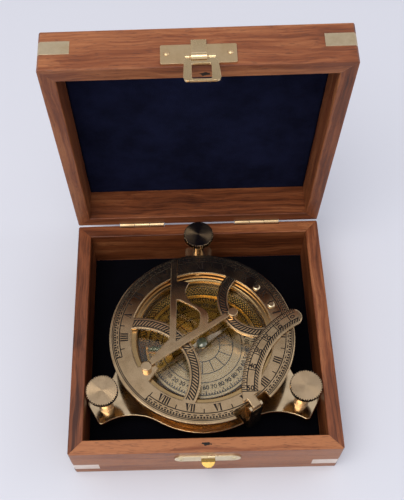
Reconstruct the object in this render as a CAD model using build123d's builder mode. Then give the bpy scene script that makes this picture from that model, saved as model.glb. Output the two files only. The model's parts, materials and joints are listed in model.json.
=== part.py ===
from build123d import *

import os
from math import asin, cos, degrees, hypot, pi, radians, sin

# A hinged wooden case that holds a sundial compass. Millimetres, +Z up, +X to the right,
# +Y towards the hinges. The origin is the middle of the case's underside. The lid stands
# open, as it is stored; its pieces are drawn as they lie when it is shut, and its frame
# carries them to the open place.

# Clearances
RUN = 0.06           # round a pin in its bore
GAP = 0.3            # between pieces that pass each other
FIT = 0.1            # round a panel or lining in its seat
REST = 0.2           # under what stands loose
SPARE = 1.0          # how far a cut runs past its piece
SHUT_GAP = 0.6       # over the highest screw, raised, under the shut lid's lining

# Levelling screws
KNOB_R = 8.9
KNOB_CLEAR = 3.0     # from the hour ring to a knob
KNOB_HEAD_T = 3.2
KNOB_RISE = 25.0     # top of a screwed down knob over its lobe
KNURL_TEETH = 56
KNURL_DEPTH = 0.45
NECK_R = 3.2
COLLAR_R = 4.15
COLLAR_T = 0.8
STUD_R = 2.4
STUD_SEAT = 9.0      # how far the stud reaches into the knob's neck
SCREW_TRAVEL = 3.0
BACK_SCREW_UP = 4.0  # the back screw stands this much higher than the others
SCREWS = ("back", "left", "right")  # a third of a turn apart, from the back

# Lobed base casting
PLATE_OUT = 8.8      # round plate beyond the bowl
PLATE_T = 5.0
PLATE_RISE = 9.8     # underside of the plate over the foot
PLATE_BEVEL = 0.4
LOBE_REACH = 8.8     # lobe beyond its screw's axis
LOBE_HALF_W = 8.5
LOBE_CORNER_R = 2.5
LOBE_FLAT = 1.0      # straight run between the lobe's corner and its flank's curve
BOWL_R = 41.0
BOWL_WALL = 3.0
BOWL_H = 32.8
BOWL_FLOOR_T = 2.0
BOWL_SHOULDER = 1.0  # step that seats the bowl on the plate
FOOT_RECESS = 1.0
FOOT_W = 11.0
LEDGE_W = 2.5        # shelf inside the bowl that carries the dial card
LEDGE_SUNK = 9.8     # shelf below the bowl's rim
NOTCH_U = (-5.3, 4.9)
NOTCH_OUT = 3.0      # notch's inner face beyond the bowl

# Bezel, glass and dial
BEZEL_T = 3.0
BEZEL_W = 4.0
BEZEL_BEVEL = 0.7
GLASS_T = 2.0
GLASS_SUNK = 1.5     # glass below the bowl's rim
CARD_T = 0.8
CONE_LIP = 1.4       # flat rim round the cone
CONE_W = 3.7
CONE_RISE = (0.5, 4.5)
NEEDLE_DEG = 0.0     # needle's heading from the noon line
NEEDLE_CLEAR = 2.8   # needle's tail to the cone
NEEDLE_POINT = 20.5
NEEDLE_W = 5.2
NEEDLE_T = 0.5
CAP_R = 2.0
CAP_T = 1.9
CAP_BORE_R = 0.9
PIVOT_R = 0.5
PIVOT_FOOT_R = 2.2
PIVOT_FOOT_T = 0.5
PIVOT_H = 2.9
LEVEL_L = 13.7
LEVEL_CLEAR = 1.6    # level's end to the cone
LEVEL_Y = -1.7
LEVEL_R = 1.5
LEVEL_RIM = 0.7      # width and thickness of the level's brass cradle
LEVEL_SUNK = 0.2     # level's axis over the card's face

# Hour ring
NOON_DEG = 33.0      # noon line from +X
RING_GAP = 1.0       # over the bezel
RING_T = 2.0
RING_INWARD = 0.5    # ring's inner edge inside the bowl's outer face
RING_W = 12.1
RING_NOTCH_U = (-12.7, 9.2)
RING_NOTCH_OUT = 5.8  # notch's inner edge beyond the bowl
ARM_ROOT = 1.0       # how far the curved arms run into the ring
LOW_ARM_U = -43.5
LOW_ARM_R = (28.8, 35.5)
HIGH_ARM_U = 40.0
HIGH_ARM_R = (18.1, 24.0)
FOOT_PLATE_U = -31.5
FOOT_PLATE_V = (-6.5, 4.0)
FOOT_PLATE_TIP_V = (-2.8, 3.0)
STOP_U = (-13.0, -8.2)
STOP_V = -4.0
STOP_W = 1.2
STOP_H = 1.3

# Hinge that carries the hour ring
RING_AXIS_OUT = 3.0  # axis beyond the bowl
RING_AXIS_RISE = 3.0  # axis over the plate
RING_BARREL_R = 2.4
RING_BARREL_HALF = 5.4
RING_PIN_R = 1.0
LUG_T = 2.6
LUG_R = 2.6
BRACKET_T = 1.5
BRACKET_OUT = (1.3, 9.0)  # bracket's flange beyond the bowl
BRACKET_LEG_OUT = 4.0
BRACKET_HALF_W = 9.5
RIVET_OUT = 2.7      # rivets beyond the bowl
RIVET_V = 7.0
RIVET_R = 1.2
RIVET_HEAD_R = 2.25
RIVET_HEAD_T = 1.1
RIVET_DOME = 1.0

# Latitude arc
ARC_W = 10.2
ARC_INWARD = 4.0     # arc's inner edge inside its hinge
ARC_TIP_DEG = 84.5
ARC_FOOT_OUT = 4.8   # arc's foot beyond the bowl
ARC_T = 1.6
ARC_GAP = 0.2        # over the hour ring
ARC_AXIS_OUT = 9.5   # hinge's axis beyond the bowl
ARC_BARREL_R = 1.6
ARC_BARREL_HALF = 2.4
ARC_PIN_R = 0.6
EAR_T = 1.4
EAR_R = 1.7
POST_OUT = 6.4       # inner face of the post beyond the bowl

# Gnomon
GNOMON_V = 0.7
GNOMON_T = 1.5
GNOMON_GAP = 0.55    # over the hour ring
BOSS_U = (-36.9, 21.9)
BOSS_R = 2.9
BOSS_H = 3.7
STUB_R = 0.7
STUB_L = 2.0
BAR_HALF_W = 0.7     # bar in front of the axis
BAR_W = 3.2
STYLE_FOOT = (-16.0, 6.0)
STYLE_TIP = (13.5, 48.0)
STYLE_W = 3.7
HARP_OUTER = ((6.8, 3.8), (9.2, 7.0), (10.1, 10.8), (8.8, 14.4), (6.6, 18.4), (6.0, 22.0),
              (6.9, 26.6), (9.1, 28.9), (12.7, 30.7))
HARP_INNER = ((0.7, 4.5), (4.0, 7.5), (6.3, 11.6), (5.8, 15.4), (4.2, 19.0), (2.6, 22.4),
              (1.2, 25.0))
HORN_BACK = (10.4, 33.6)
HORN_ROOT_V = 35.6

# Case
WALL = 8.0
BASE_H = 33.0
SEAM = 0.6
BASE_PANEL_T = 4.0
LID_PANEL_T = 3.5
REBATE = 4.0
LINING_T = 1.0
SIDE_CLEAR = 0.2     # lobes to the side walls
BACK_CLEAR = 1.1     # back knob to the back wall
FRONT_CLEAR = 3.9    # hour ring to the front wall
CORNER_CUT = 1.0
EDGE_R = 0.5
LID_ANGLE = 86.0

# Corner straps
STRAP_L = 15.0
STRAP_W = 7.8
STRAP_T = 1.2
STRAP_INSET = 10.0   # middle of a strap from the case's top or bottom

# Case hinges
HINGE_OUT = 0.1      # hinge axis behind the back face
HINGE_LEFT_X = -35.0
HINGE_RIGHT_X = 37.0
KNUCKLE_R = 1.6
KNUCKLE_L = 9.0
HINGE_PIN_R = 0.75
LEAF_T = 0.8
LEAF_W = 7.0
HINGE_NAIL_STEP = 9.0
HINGE_NAIL_R = 0.6
HINGE_NAIL_HEAD_R = 1.2
HINGE_NAIL_HEAD_T = 0.4
HINGE_NAIL_L = 5.5
NAIL_FIT = 0.02

# Catch on the base
CATCH_X = 1.1
CATCH_L = 36.6
CATCH_H = 8.0
CATCH_Z = 23.0
PLATE_METAL_T = 0.8
CATCH_NAIL_X = 14.6
TONGUE_X = 1.3
TONGUE_W = 7.8
TONGUE_OUT = 5.8
TONGUE_T = 0.9
TONGUE_DROOP = 0.8
TONGUE_Z = 26.0

# Hasp on the lid, heights over the lid's rim
HASP_PLATE_X = 0.6
HASP_PLATE_L = 35.8
HASP_PLATE_H = 11.1
HASP_PLATE_UP = 6.85
HASP_NAIL_X = 14.95
HASP_NAIL_UP = 7.4
HASP_AXIS_UP = 3.0
HASP_AXIS_OUT = 3.0
HASP_ROLL_R = 1.15
HASP_PIN_R = 0.5
STRIP_X = (-2.9, 4.4)
STRIP_TOP_UP = 14.5
STRIP_T = 0.8
STRIP_ROLL_R = 2.2
STRIP_CLEAR = 0.8    # on each side of the strip in the hasp's slot
HASP_T = 1.2
HASP_TOP = 1.6
HASP_BOTTOM = 11.0
HASP_TOP_X = (-6.3, 9.4)
HASP_LOW_X = (-6.9, 10.7)
HASP_CORNER_R = 2.2
WINDOW_X = (-2.9, 6.3)
WINDOW_DROP = (1.1, 10.0)
WINDOW_R = 0.8
EAR_X = (-5.8, 8.4)
DOME_NAIL_R = 1.5
DOME_NAIL_H = 0.7
DOME_SHANK_R = 0.6
DOME_SHANK_L = 5.0

# Sizes of the instrument that follow its bowl
PLATE_R = BOWL_R + PLATE_OUT
INSIDE_R = BOWL_R - BOWL_WALL - FIT
CONE_IN_R = INSIDE_R - CONE_LIP - CONE_W
NEEDLE_TAIL = CONE_IN_R - NEEDLE_CLEAR
LEVEL_X = -CONE_IN_R + LEVEL_CLEAR
RING_IN_R = BOWL_R - RING_INWARD
RING_OUT_R = RING_IN_R + RING_W
SCREW_PITCH_R = RING_OUT_R + KNOB_CLEAR + KNOB_R
RING_AXIS_U = BOWL_R + RING_AXIS_OUT
RIVET_U = BOWL_R + RIVET_OUT
ARC_AXIS_V = -BOWL_R - ARC_AXIS_OUT
ARC_FOOT_V = -BOWL_R - ARC_FOOT_OUT

# Inside of the case, round the instrument
LOBE_END_R = SCREW_PITCH_R + LOBE_REACH
CORNER_SPREAD = LOBE_HALF_W - LOBE_CORNER_R
SIDE_LOBE_SLANT = pi / 6
LOBE_SIDE_REACH = (LOBE_END_R - LOBE_CORNER_R) * cos(SIDE_LOBE_SLANT) \
    + CORNER_SPREAD * sin(SIDE_LOBE_SLANT) + LOBE_CORNER_R
INNER_W = 2 * (LOBE_SIDE_REACH + SIDE_CLEAR)
INNER_D = FRONT_CLEAR + RING_OUT_R + SCREW_PITCH_R + KNOB_R + BACK_CLEAR
BOX_W = INNER_W + 2 * WALL
BOX_D = INNER_D + 2 * WALL
INSTR_Y = INNER_D / 2 - BACK_CLEAR - KNOB_R - SCREW_PITCH_R

# Heights
LINING_TOP = BASE_PANEL_T + LINING_T
FOOT_Z = LINING_TOP + REST
PLATE_Z = FOOT_Z + PLATE_RISE
PLATE_TOP = PLATE_Z + PLATE_T
BOWL_TOP = FOOT_Z + BOWL_H
BEZEL_TOP = BOWL_TOP + BEZEL_T
RING_Z = BEZEL_TOP + RING_GAP
RING_TOP = RING_Z + RING_T
ARC_Z = RING_TOP + ARC_GAP
ARC_AXIS_Z = ARC_Z - ARC_BARREL_R - FIT
GNOMON_Z = RING_TOP + GNOMON_GAP
GNOMON_AXIS_Z = GNOMON_Z + GNOMON_T / 2
RING_AXIS_Z = PLATE_TOP + RING_AXIS_RISE
LEDGE_Z = BOWL_TOP - LEDGE_SUNK
CARD_TOP = LEDGE_Z + CARD_T
GLASS_Z = BOWL_TOP - GLASS_SUNK - GLASS_T
KNOB_TOP = PLATE_TOP + KNOB_RISE
RIM_Z = BASE_H + SEAM
LID_LINING_Z = KNOB_TOP + BACK_SCREW_UP + SCREW_TRAVEL + SHUT_GAP
LID_TOP = LID_LINING_Z + LINING_T + LID_PANEL_T

# Latitude arc round the hour ring's hinge: standing up, the two have one centre
ARC_CENTRE = (RING_AXIS_U, ARC_AXIS_V - ARC_AXIS_Z + RING_AXIS_Z)
ARC_IN_R = hypot(RING_AXIS_U, ARC_AXIS_Z - RING_AXIS_Z) - ARC_INWARD
ARC_OUT_R = ARC_IN_R + ARC_W

# Frames: the noon frame has u along the noon line and v across it
HINGE_Y = BOX_D / 2 + HINGE_OUT
HINGE_Z = BASE_H + SEAM / 2
TO_HINGE = Location((0, -HINGE_Y, -HINGE_Z))
BASE = Plane.XY
LID = Plane(Location((0, HINGE_Y, HINGE_Z), (-LID_ANGLE, 0, 0)) * TO_HINGE)
INSTRUMENT = Plane(Location((0, INSTR_Y, 0)))
NOON = Plane(Location((0, INSTR_Y, 0), (0, 0, NOON_DEG)))


def level(frame, height):
    """Horizontal plane of a frame at a height."""
    return Plane(frame.location * Location((0, 0, height)))


def facing(frame, origin, x_dir, z_dir):
    """Plane of a frame through a point, with its own x and normal."""
    return Plane(frame.location * Plane(origin=origin, x_dir=x_dir, z_dir=z_dir).location)


def along_x(frame, x):
    """Plane across a frame's first axis, with its y and z as the plane's x and y."""
    return facing(frame, (x, 0, 0), (0, 1, 0), (1, 0, 0))


def save(piece, name):
    """Name a finished piece and write it."""
    piece.part.label = name
    export_step(piece.part, f"parts/{name}.step")


# Case: walls, panels, linings and corner straps
SIDES = ("front", "right", "back", "left")


def quarter_turns(count):
    """Turn about the upright axis by a number of right angles."""
    return Location((0, 0, 0), (0, 0, degrees(count * pi / 2)))


def side_frame(frame, side):
    """Frame of one wall: x along it, y from its outer face inwards."""
    across = BOX_D if side in ("front", "back") else BOX_W
    return Plane(frame.location * quarter_turns(SIDES.index(side)) * Location((0, -across / 2, 0)))


def corner_straps(frame, z_low):
    """Four brass angles let in flush round the corners."""
    with BuildPart() as straps:
        with BuildSketch(level(frame, z_low)):
            for sx in (-1, 1):
                for sy in (-1, 1):
                    x, y = sx * BOX_W / 2, sy * BOX_D / 2
                    Polygon((x - sx * STRAP_L, y), (x - sx * CORNER_CUT, y),
                            (x, y - sy * CORNER_CUT), (x, y - sy * STRAP_L),
                            (x - sx * STRAP_T, y - sy * STRAP_L),
                            (x - sx * STRAP_T, y - sy * STRAP_T),
                            (x - sx * STRAP_L, y - sy * STRAP_T), align=None)
        extrude(amount=STRAP_W)
    return straps


def mitred_wall(frame, side, z_low, z_high, panel_z, panel_t, pockets):
    """One wall with mitred ends, eased edges, a rebate for the panel and its pockets."""
    own = side_frame(frame, side)
    half = (BOX_W if side in ("front", "back") else BOX_D) / 2
    grain = Axis((0, 0, 0), own.x_dir)
    with BuildPart() as wall:
        with BuildSketch(level(own, z_low)):
            Polygon((-half + CORNER_CUT, 0), (half - CORNER_CUT, 0),
                    (half - CORNER_CUT / 2, CORNER_CUT / 2), (half - WALL, WALL),
                    (-half + WALL, WALL), (-half + CORNER_CUT / 2, CORNER_CUT / 2), align=None)
        extrude(amount=z_high - z_low)
        fillet(wall.edges().filter_by(grain), EDGE_R)
        with BuildSketch(level(own, panel_z)):
            with Locations((0, WALL - REBATE / 2)):
                Rectangle(2 * half, REBATE)
        extrude(amount=panel_t, mode=Mode.SUBTRACT)
        for pocket in pockets:
            add(pocket.part, mode=Mode.SUBTRACT)
    return wall


def panel(frame, z_low):
    """Flat board in the walls' rebates."""
    grown = 2 * (REBATE - FIT)
    thickness = BASE_PANEL_T if frame is BASE else LID_PANEL_T
    with BuildPart() as board:
        with BuildSketch(level(frame, z_low)):
            Rectangle(INNER_W + grown, INNER_D + grown)
        extrude(amount=thickness)
    return board


def lining(frame, z_low):
    """Velvet glued on the inside of a panel."""
    with BuildPart() as cloth:
        with BuildSketch(level(frame, z_low)):
            Rectangle(INNER_W - 2 * FIT, INNER_D - 2 * FIT)
        extrude(amount=LINING_T)
    return cloth


# Case hinges
HINGE_X = {"left": HINGE_LEFT_X, "right": HINGE_RIGHT_X}


def knuckle_spans(x, frame):
    """Stretches along a hinge's axis that belong to the leaf of one frame."""
    pitch = KNUCKLE_L + GAP
    steps = (-1, 1) if frame is BASE else (0,)
    return [x + step * pitch for step in steps]


def back_plane(frame):
    """Plane on the back face of a frame, x to the left and y up, that faces outwards."""
    return facing(frame, (0, BOX_D / 2, 0), (-1, 0, 0), (0, 1, 0))


def leaf_side(frame):
    """Way that a leaf lies from the axis: down on the base, up on the lid."""
    return -1 if frame is BASE else 1


def leaf_span(frame):
    """Heights of a leaf's edge that clears the knuckles and of its far edge."""
    side = leaf_side(frame)
    return HINGE_Z + side * (KNUCKLE_R + GAP), HINGE_Z + side * LEAF_W


def nail_spots(frame, x):
    """Nails along a leaf, on the back plane."""
    height = sum(leaf_span(frame)) / 2
    return [(-x + step * HINGE_NAIL_STEP, height) for step in (-1, 0, 1)]


def leaf_pocket(frame, x):
    """Room in a wall's back face for one leaf, and for the barrel of the whole hinge."""
    length = 3 * KNUCKLE_L + 2 * GAP
    far_z = leaf_span(frame)[1] + leaf_side(frame) * FIT
    with BuildPart() as pocket:
        with BuildSketch(back_plane(frame)):
            with Locations((-x, (HINGE_Z + far_z) / 2)):
                Rectangle(length + 2 * FIT, abs(far_z - HINGE_Z))
        extrude(amount=-LEAF_T)
        with BuildSketch(along_x(frame, x - length / 2 - GAP)):
            with Locations((HINGE_Y, HINGE_Z)):
                Circle(KNUCKLE_R + GAP)
        extrude(amount=length + 2 * GAP)
    return pocket


def hinge_leaf(frame, x):
    """Brass leaf let in flush in the back, with its share of the knuckles."""
    length = 3 * KNUCKLE_L + 2 * GAP
    near_z, far_z = leaf_span(frame)
    with BuildPart() as leaf:
        with BuildSketch(back_plane(frame)):
            with Locations((-x, (near_z + far_z) / 2)):
                Rectangle(length, abs(far_z - near_z))
            for middle in knuckle_spans(x, frame):
                with Locations((-middle, (near_z + HINGE_Z) / 2)):
                    Rectangle(KNUCKLE_L, abs(near_z - HINGE_Z))
        extrude(amount=-LEAF_T)
        for middle in knuckle_spans(x, frame):
            with BuildSketch(along_x(frame, middle - KNUCKLE_L / 2)):
                with Locations((HINGE_Y, HINGE_Z)):
                    Circle(KNUCKLE_R)
            extrude(amount=KNUCKLE_L)
        with BuildSketch(along_x(frame, x - length / 2)):
            with Locations((HINGE_Y, HINGE_Z)):
                Circle(HINGE_PIN_R + RUN)
        extrude(amount=length, mode=Mode.SUBTRACT)
        with BuildSketch(back_plane(frame)):
            with Locations(*nail_spots(frame, x)):
                Circle(HINGE_NAIL_R + NAIL_FIT)
        extrude(amount=-LEAF_T, mode=Mode.SUBTRACT)
        with BuildSketch(back_plane(frame)):
            with Locations(*nail_spots(frame, x)):
                Circle(HINGE_NAIL_HEAD_R + NAIL_FIT)
        extrude(amount=-HINGE_NAIL_HEAD_T - NAIL_FIT, mode=Mode.SUBTRACT)
    return leaf


def hinge_nails(frame, fit=0.0):
    """Flat headed nails that hold the leaves of one frame; fit widens them into holes."""
    with BuildPart() as nails:
        for x in HINGE_X.values():
            with BuildSketch(back_plane(frame)):
                with Locations(*nail_spots(frame, x)):
                    Circle(HINGE_NAIL_HEAD_R)
            extrude(amount=-HINGE_NAIL_HEAD_T)
            with BuildSketch(back_plane(frame)):
                with Locations(*nail_spots(frame, x)):
                    Circle(HINGE_NAIL_R + fit)
            extrude(amount=-HINGE_NAIL_L - fit)
    return nails


def hinge_pin(x):
    """Wire through the three knuckles."""
    length = 3 * KNUCKLE_L + 2 * GAP
    with BuildPart() as pin:
        with BuildSketch(along_x(BASE, x - length / 2)):
            with Locations((HINGE_Y, HINGE_Z)):
                Circle(HINGE_PIN_R)
        extrude(amount=length)
    return pin


# Plates, nails and hasp on the front
def front_plane(frame, out=0.0):
    """Plane on the front face of a frame, x to the right and y up, that faces outwards."""
    return facing(frame, (0, -BOX_D / 2 - out, 0), (1, 0, 0), (0, -1, 0))


def dome_nails(frame, spots, fit=0.0):
    """Round headed nails in a front plate; fit widens their shanks into holes."""
    profile_r = (DOME_NAIL_R ** 2 + DOME_NAIL_H ** 2) / (2 * DOME_NAIL_H)
    with BuildPart() as nails:
        for x, z in spots:
            base = front_plane(frame, PLATE_METAL_T)
            seat = Plane(base.location * Location((x, z, 0)))
            with BuildSketch(Plane(seat.location * Plane.XZ.location)):
                with BuildLine():
                    Line((0, -DOME_SHANK_L), (DOME_SHANK_R + fit, -DOME_SHANK_L))
                    Line((DOME_SHANK_R + fit, -DOME_SHANK_L), (DOME_SHANK_R + fit, 0))
                    Line((DOME_SHANK_R + fit, 0), (DOME_NAIL_R, 0))
                    RadiusArc((DOME_NAIL_R, 0), (0, DOME_NAIL_H), -profile_r)
                    Line((0, DOME_NAIL_H), (0, -DOME_SHANK_L))
                make_face()
            revolve(axis=Axis(seat.origin, seat.z_dir))
    return nails


CATCH_SPOTS = [(CATCH_X + step * CATCH_NAIL_X, CATCH_Z) for step in (-1, 1)]
HASP_SPOTS = [(HASP_PLATE_X + step * HASP_NAIL_X, RIM_Z + HASP_NAIL_UP) for step in (-1, 1)]


def catch_plate():
    """Round ended plate with a round tongue, bent out, that the hasp's window drops over."""
    root = BOX_D / 2 + PLATE_METAL_T
    half_t = TONGUE_T / 2
    with BuildPart() as catch:
        with BuildSketch(front_plane(BASE)):
            with Locations((CATCH_X, CATCH_Z)):
                SlotOverall(CATCH_L, CATCH_H)
        extrude(amount=PLATE_METAL_T)
        with BuildSketch(along_x(BASE, TONGUE_X - TONGUE_W / 2)):
            Polygon((-root + half_t, TONGUE_Z - half_t), (-root + half_t, TONGUE_Z + half_t),
                    (-root - TONGUE_OUT / 2, TONGUE_Z + half_t),
                    (-root - TONGUE_OUT, TONGUE_Z + half_t - TONGUE_DROOP),
                    (-root - TONGUE_OUT, TONGUE_Z - half_t - TONGUE_DROOP),
                    (-root - TONGUE_OUT / 2, TONGUE_Z - half_t), align=None)
        extrude(amount=TONGUE_W)
        shoulder = root + TONGUE_OUT - TONGUE_W / 2
        with BuildSketch(level(BASE, TONGUE_Z - TONGUE_OUT)):
            with Locations((TONGUE_X, -shoulder - TONGUE_W / 2)):
                Rectangle(TONGUE_W + 2 * SPARE, TONGUE_W)
            with Locations((TONGUE_X, -shoulder)):
                Circle(TONGUE_W / 2, mode=Mode.SUBTRACT)
        extrude(amount=2 * TONGUE_OUT, mode=Mode.SUBTRACT)
        add(dome_nails(BASE, CATCH_SPOTS, NAIL_FIT).part, mode=Mode.SUBTRACT)
    return catch


def hasp_plate():
    """Oblong plate on the lid that carries the hasp's strip."""
    with BuildPart() as plate:
        with BuildSketch(front_plane(LID)):
            with Locations((HASP_PLATE_X, RIM_Z + HASP_PLATE_UP)):
                RectangleRounded(HASP_PLATE_L, HASP_PLATE_H, WINDOW_R)
        extrude(amount=PLATE_METAL_T)
        add(dome_nails(LID, HASP_SPOTS, NAIL_FIT).part, mode=Mode.SUBTRACT)
    return plate


HASP_AXIS = (-BOX_D / 2 - HASP_AXIS_OUT, RIM_Z + HASP_AXIS_UP)


def hasp_strip():
    """Strip over the plate, rolled round the hasp's pin."""
    width = STRIP_X[1] - STRIP_X[0]
    face = -BOX_D / 2 - PLATE_METAL_T
    with BuildPart() as strip:
        with BuildSketch(along_x(LID, STRIP_X[0])):
            with Locations(HASP_AXIS):
                Circle(STRIP_ROLL_R)
            Polygon((face, HASP_AXIS[1]), (face, RIM_Z + STRIP_TOP_UP),
                    (face - STRIP_T, RIM_Z + STRIP_TOP_UP), (face - STRIP_T, HASP_AXIS[1]),
                    align=None)
            with Locations(HASP_AXIS):
                Circle(HASP_PIN_R + RUN, mode=Mode.SUBTRACT)
        extrude(amount=width)
    return strip


def ear_spans():
    """Stretches of the hasp's two ears, outside the strip."""
    return [(EAR_X[0], STRIP_X[0] - STRIP_CLEAR), (STRIP_X[1] + STRIP_CLEAR, EAR_X[1])]


def hasp():
    """Open frame with a slot for the strip's roll and two ears round the pin."""
    out = HASP_AXIS_OUT - HASP_T / 2
    slot = [ear_spans()[0][1], ear_spans()[1][0]]
    slot_low = HASP_AXIS[1] - STRIP_ROLL_R - GAP
    slot_high = RIM_Z + HASP_TOP + SPARE
    with BuildPart() as frame:
        with BuildSketch(front_plane(LID, out)) as outline:
            Polygon((HASP_TOP_X[0], RIM_Z + HASP_TOP), (HASP_TOP_X[1], RIM_Z + HASP_TOP),
                    (HASP_LOW_X[1], RIM_Z - HASP_BOTTOM), (HASP_LOW_X[0], RIM_Z - HASP_BOTTOM),
                    align=None)
            fillet(outline.vertices(), HASP_CORNER_R)
            middle = ((WINDOW_X[0] + WINDOW_X[1]) / 2, RIM_Z - (WINDOW_DROP[0] + WINDOW_DROP[1]) / 2)
            with Locations(middle):
                RectangleRounded(WINDOW_X[1] - WINDOW_X[0], WINDOW_DROP[1] - WINDOW_DROP[0],
                                 WINDOW_R, mode=Mode.SUBTRACT)
            with Locations((sum(slot) / 2, (slot_low + slot_high) / 2)):
                Rectangle(slot[1] - slot[0], slot_high - slot_low, mode=Mode.SUBTRACT)
        extrude(amount=HASP_T)
        for low, high in ear_spans():
            with BuildSketch(along_x(LID, low)):
                with Locations(HASP_AXIS):
                    Circle(HASP_ROLL_R)
                Polygon((HASP_AXIS[0] - HASP_T / 2, HASP_AXIS[1]),
                        (HASP_AXIS[0] + HASP_T / 2, HASP_AXIS[1]),
                        (HASP_AXIS[0] + HASP_T / 2, RIM_Z + HASP_TOP - WINDOW_R),
                        (HASP_AXIS[0] - HASP_T / 2, RIM_Z + HASP_TOP - WINDOW_R), align=None)
                with Locations(HASP_AXIS):
                    Circle(HASP_PIN_R + RUN, mode=Mode.SUBTRACT)
            extrude(amount=high - low)
    return frame


def hasp_pin():
    """Wire through the strip and both ears."""
    with BuildPart() as pin:
        with BuildSketch(along_x(LID, EAR_X[0])):
            with Locations(HASP_AXIS):
                Circle(HASP_PIN_R)
        extrude(amount=EAR_X[1] - EAR_X[0])
    return pin


# Lobed base casting
def screw_turns():
    """Turn of each lobe and screw about the instrument's axis."""
    return [Location((0, 0, 0), (0, 0, degrees(pi / 2 + index * 2 * pi / len(SCREWS))))
            for index in range(len(SCREWS))]


def lobe_flank_r():
    """Radius of the curve that runs from the round plate into a lobe's side."""
    tangent = LOBE_END_R - LOBE_CORNER_R - LOBE_FLAT
    return (tangent ** 2 - PLATE_R ** 2 + LOBE_HALF_W ** 2) / (2 * (PLATE_R - LOBE_HALF_W))


def reach(corner):
    """Distance of an outline's corner from the instrument's axis."""
    return hypot(corner.X, corner.Y)


def lobed_outline():
    """Round plate with three lobes, each blended in by two hollow curves."""
    with BuildSketch(level(INSTRUMENT, PLATE_Z)) as outline:
        Circle(PLATE_R)
        for turn in screw_turns():
            with Locations(turn):
                with Locations((LOBE_END_R / 2, 0)):
                    Rectangle(LOBE_END_R, 2 * LOBE_HALF_W)
        joins = outline.vertices().filter_by(lambda corner: abs(reach(corner) - PLATE_R) < FIT)
        fillet(joins, lobe_flank_r())
        ends = outline.vertices().filter_by(lambda corner: reach(corner) > LOBE_END_R)
        fillet(ends, LOBE_CORNER_R)
    return outline


def lobed_base():
    """Round plate with three lobes, the notch for the post and the lugs of the ring's hinge."""
    outline = lobed_outline()
    with BuildPart() as casting:
        add(outline.sketch)
        extrude(amount=PLATE_T, dir=(0, 0, 1))
        chamfer(casting.edges().group_by(Axis.Z)[-1], PLATE_BEVEL)
        with BuildSketch(level(INSTRUMENT, PLATE_Z)):
            Circle(BOWL_R - BOWL_SHOULDER)
        extrude(amount=PLATE_T, mode=Mode.SUBTRACT)
        with BuildSketch(level(NOON, PLATE_Z)):
            with Locations((sum(NOTCH_U) / 2, -BOWL_R - NOTCH_OUT - PLATE_R / 2)):
                Rectangle(NOTCH_U[1] - NOTCH_U[0], PLATE_R)
        extrude(amount=PLATE_T, mode=Mode.SUBTRACT)
        for turn in screw_turns():
            with BuildSketch(Plane(level(INSTRUMENT, PLATE_Z).location * turn)):
                with Locations((SCREW_PITCH_R, 0)):
                    Circle(STUD_R + RUN)
            extrude(amount=PLATE_T, mode=Mode.SUBTRACT)
        for low in (-RING_BARREL_HALF - GAP - LUG_T, RING_BARREL_HALF + GAP):
            with BuildSketch(facing(NOON, (0, low, 0), (1, 0, 0), (0, -1, 0))):
                with Locations((RING_AXIS_U, RING_AXIS_Z)):
                    Circle(LUG_R)
                with Locations((RING_AXIS_U, (RING_AXIS_Z + PLATE_TOP - PLATE_BEVEL) / 2)):
                    Rectangle(2 * LUG_R, RING_AXIS_Z - PLATE_TOP + PLATE_BEVEL)
                with Locations((RING_AXIS_U, RING_AXIS_Z)):
                    Circle(RING_PIN_R + RUN, mode=Mode.SUBTRACT)
            extrude(amount=-LUG_T)
    return casting


# Bezel, glass, dial, needle and level
def turned(frame, points):
    """Solid of revolution about the instrument's axis from an r, z outline."""
    with BuildPart() as solid:
        with BuildSketch(facing(frame, (0, 0, 0), (1, 0, 0), (0, -1, 0))):
            Polygon(*points, align=None)
        revolve(axis=Axis(frame.origin, (0, 0, 1)))
    return solid


def bowl():
    """Turned bowl with a foot ring, a shoulder on the plate and a shelf for the card."""
    inner_r = BOWL_R - BOWL_WALL
    seat_r = BOWL_R - BOWL_SHOULDER
    foot_r = BOWL_R - FOOT_W
    floor_z = FOOT_Z + FOOT_RECESS
    inside_z = floor_z + BOWL_FLOOR_T
    return turned(INSTRUMENT, [
        (0, floor_z), (foot_r, floor_z), (foot_r, FOOT_Z), (seat_r, FOOT_Z),
        (seat_r, PLATE_TOP), (BOWL_R, PLATE_TOP), (BOWL_R, BOWL_TOP), (inner_r, BOWL_TOP),
        (inner_r, LEDGE_Z), (inner_r - LEDGE_W, LEDGE_Z), (inner_r - LEDGE_W, inside_z),
        (0, inside_z)])


def bezel():
    """Ring on the bowl that holds the glass down."""
    inner_r = BOWL_R - BEZEL_W
    return turned(INSTRUMENT, [
        (inner_r, GLASS_Z + GLASS_T), (INSIDE_R, GLASS_Z + GLASS_T), (INSIDE_R, BOWL_TOP),
        (BOWL_R, BOWL_TOP), (BOWL_R, BEZEL_TOP - BEZEL_BEVEL), (BOWL_R - BEZEL_BEVEL, BEZEL_TOP),
        (inner_r + BEZEL_BEVEL, BEZEL_TOP), (inner_r, BEZEL_TOP - BEZEL_BEVEL)])


def glass():
    """Flat glass between the cone ring and the bezel."""
    with BuildPart() as pane:
        with BuildSketch(level(INSTRUMENT, GLASS_Z)):
            Circle(INSIDE_R)
        extrude(amount=GLASS_T)
    return pane


def cone_ring():
    """Sloped ring between the card and the glass."""
    return turned(INSTRUMENT, [
        (CONE_IN_R, CARD_TOP), (INSIDE_R, CARD_TOP), (INSIDE_R, GLASS_Z),
        (CONE_IN_R + CONE_W, GLASS_Z), (CONE_IN_R + CONE_W, CARD_TOP + CONE_RISE[1]),
        (CONE_IN_R, CARD_TOP + CONE_RISE[0])])


LEVEL_SPOT = (LEVEL_X + LEVEL_L / 2, LEVEL_Y)


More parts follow.
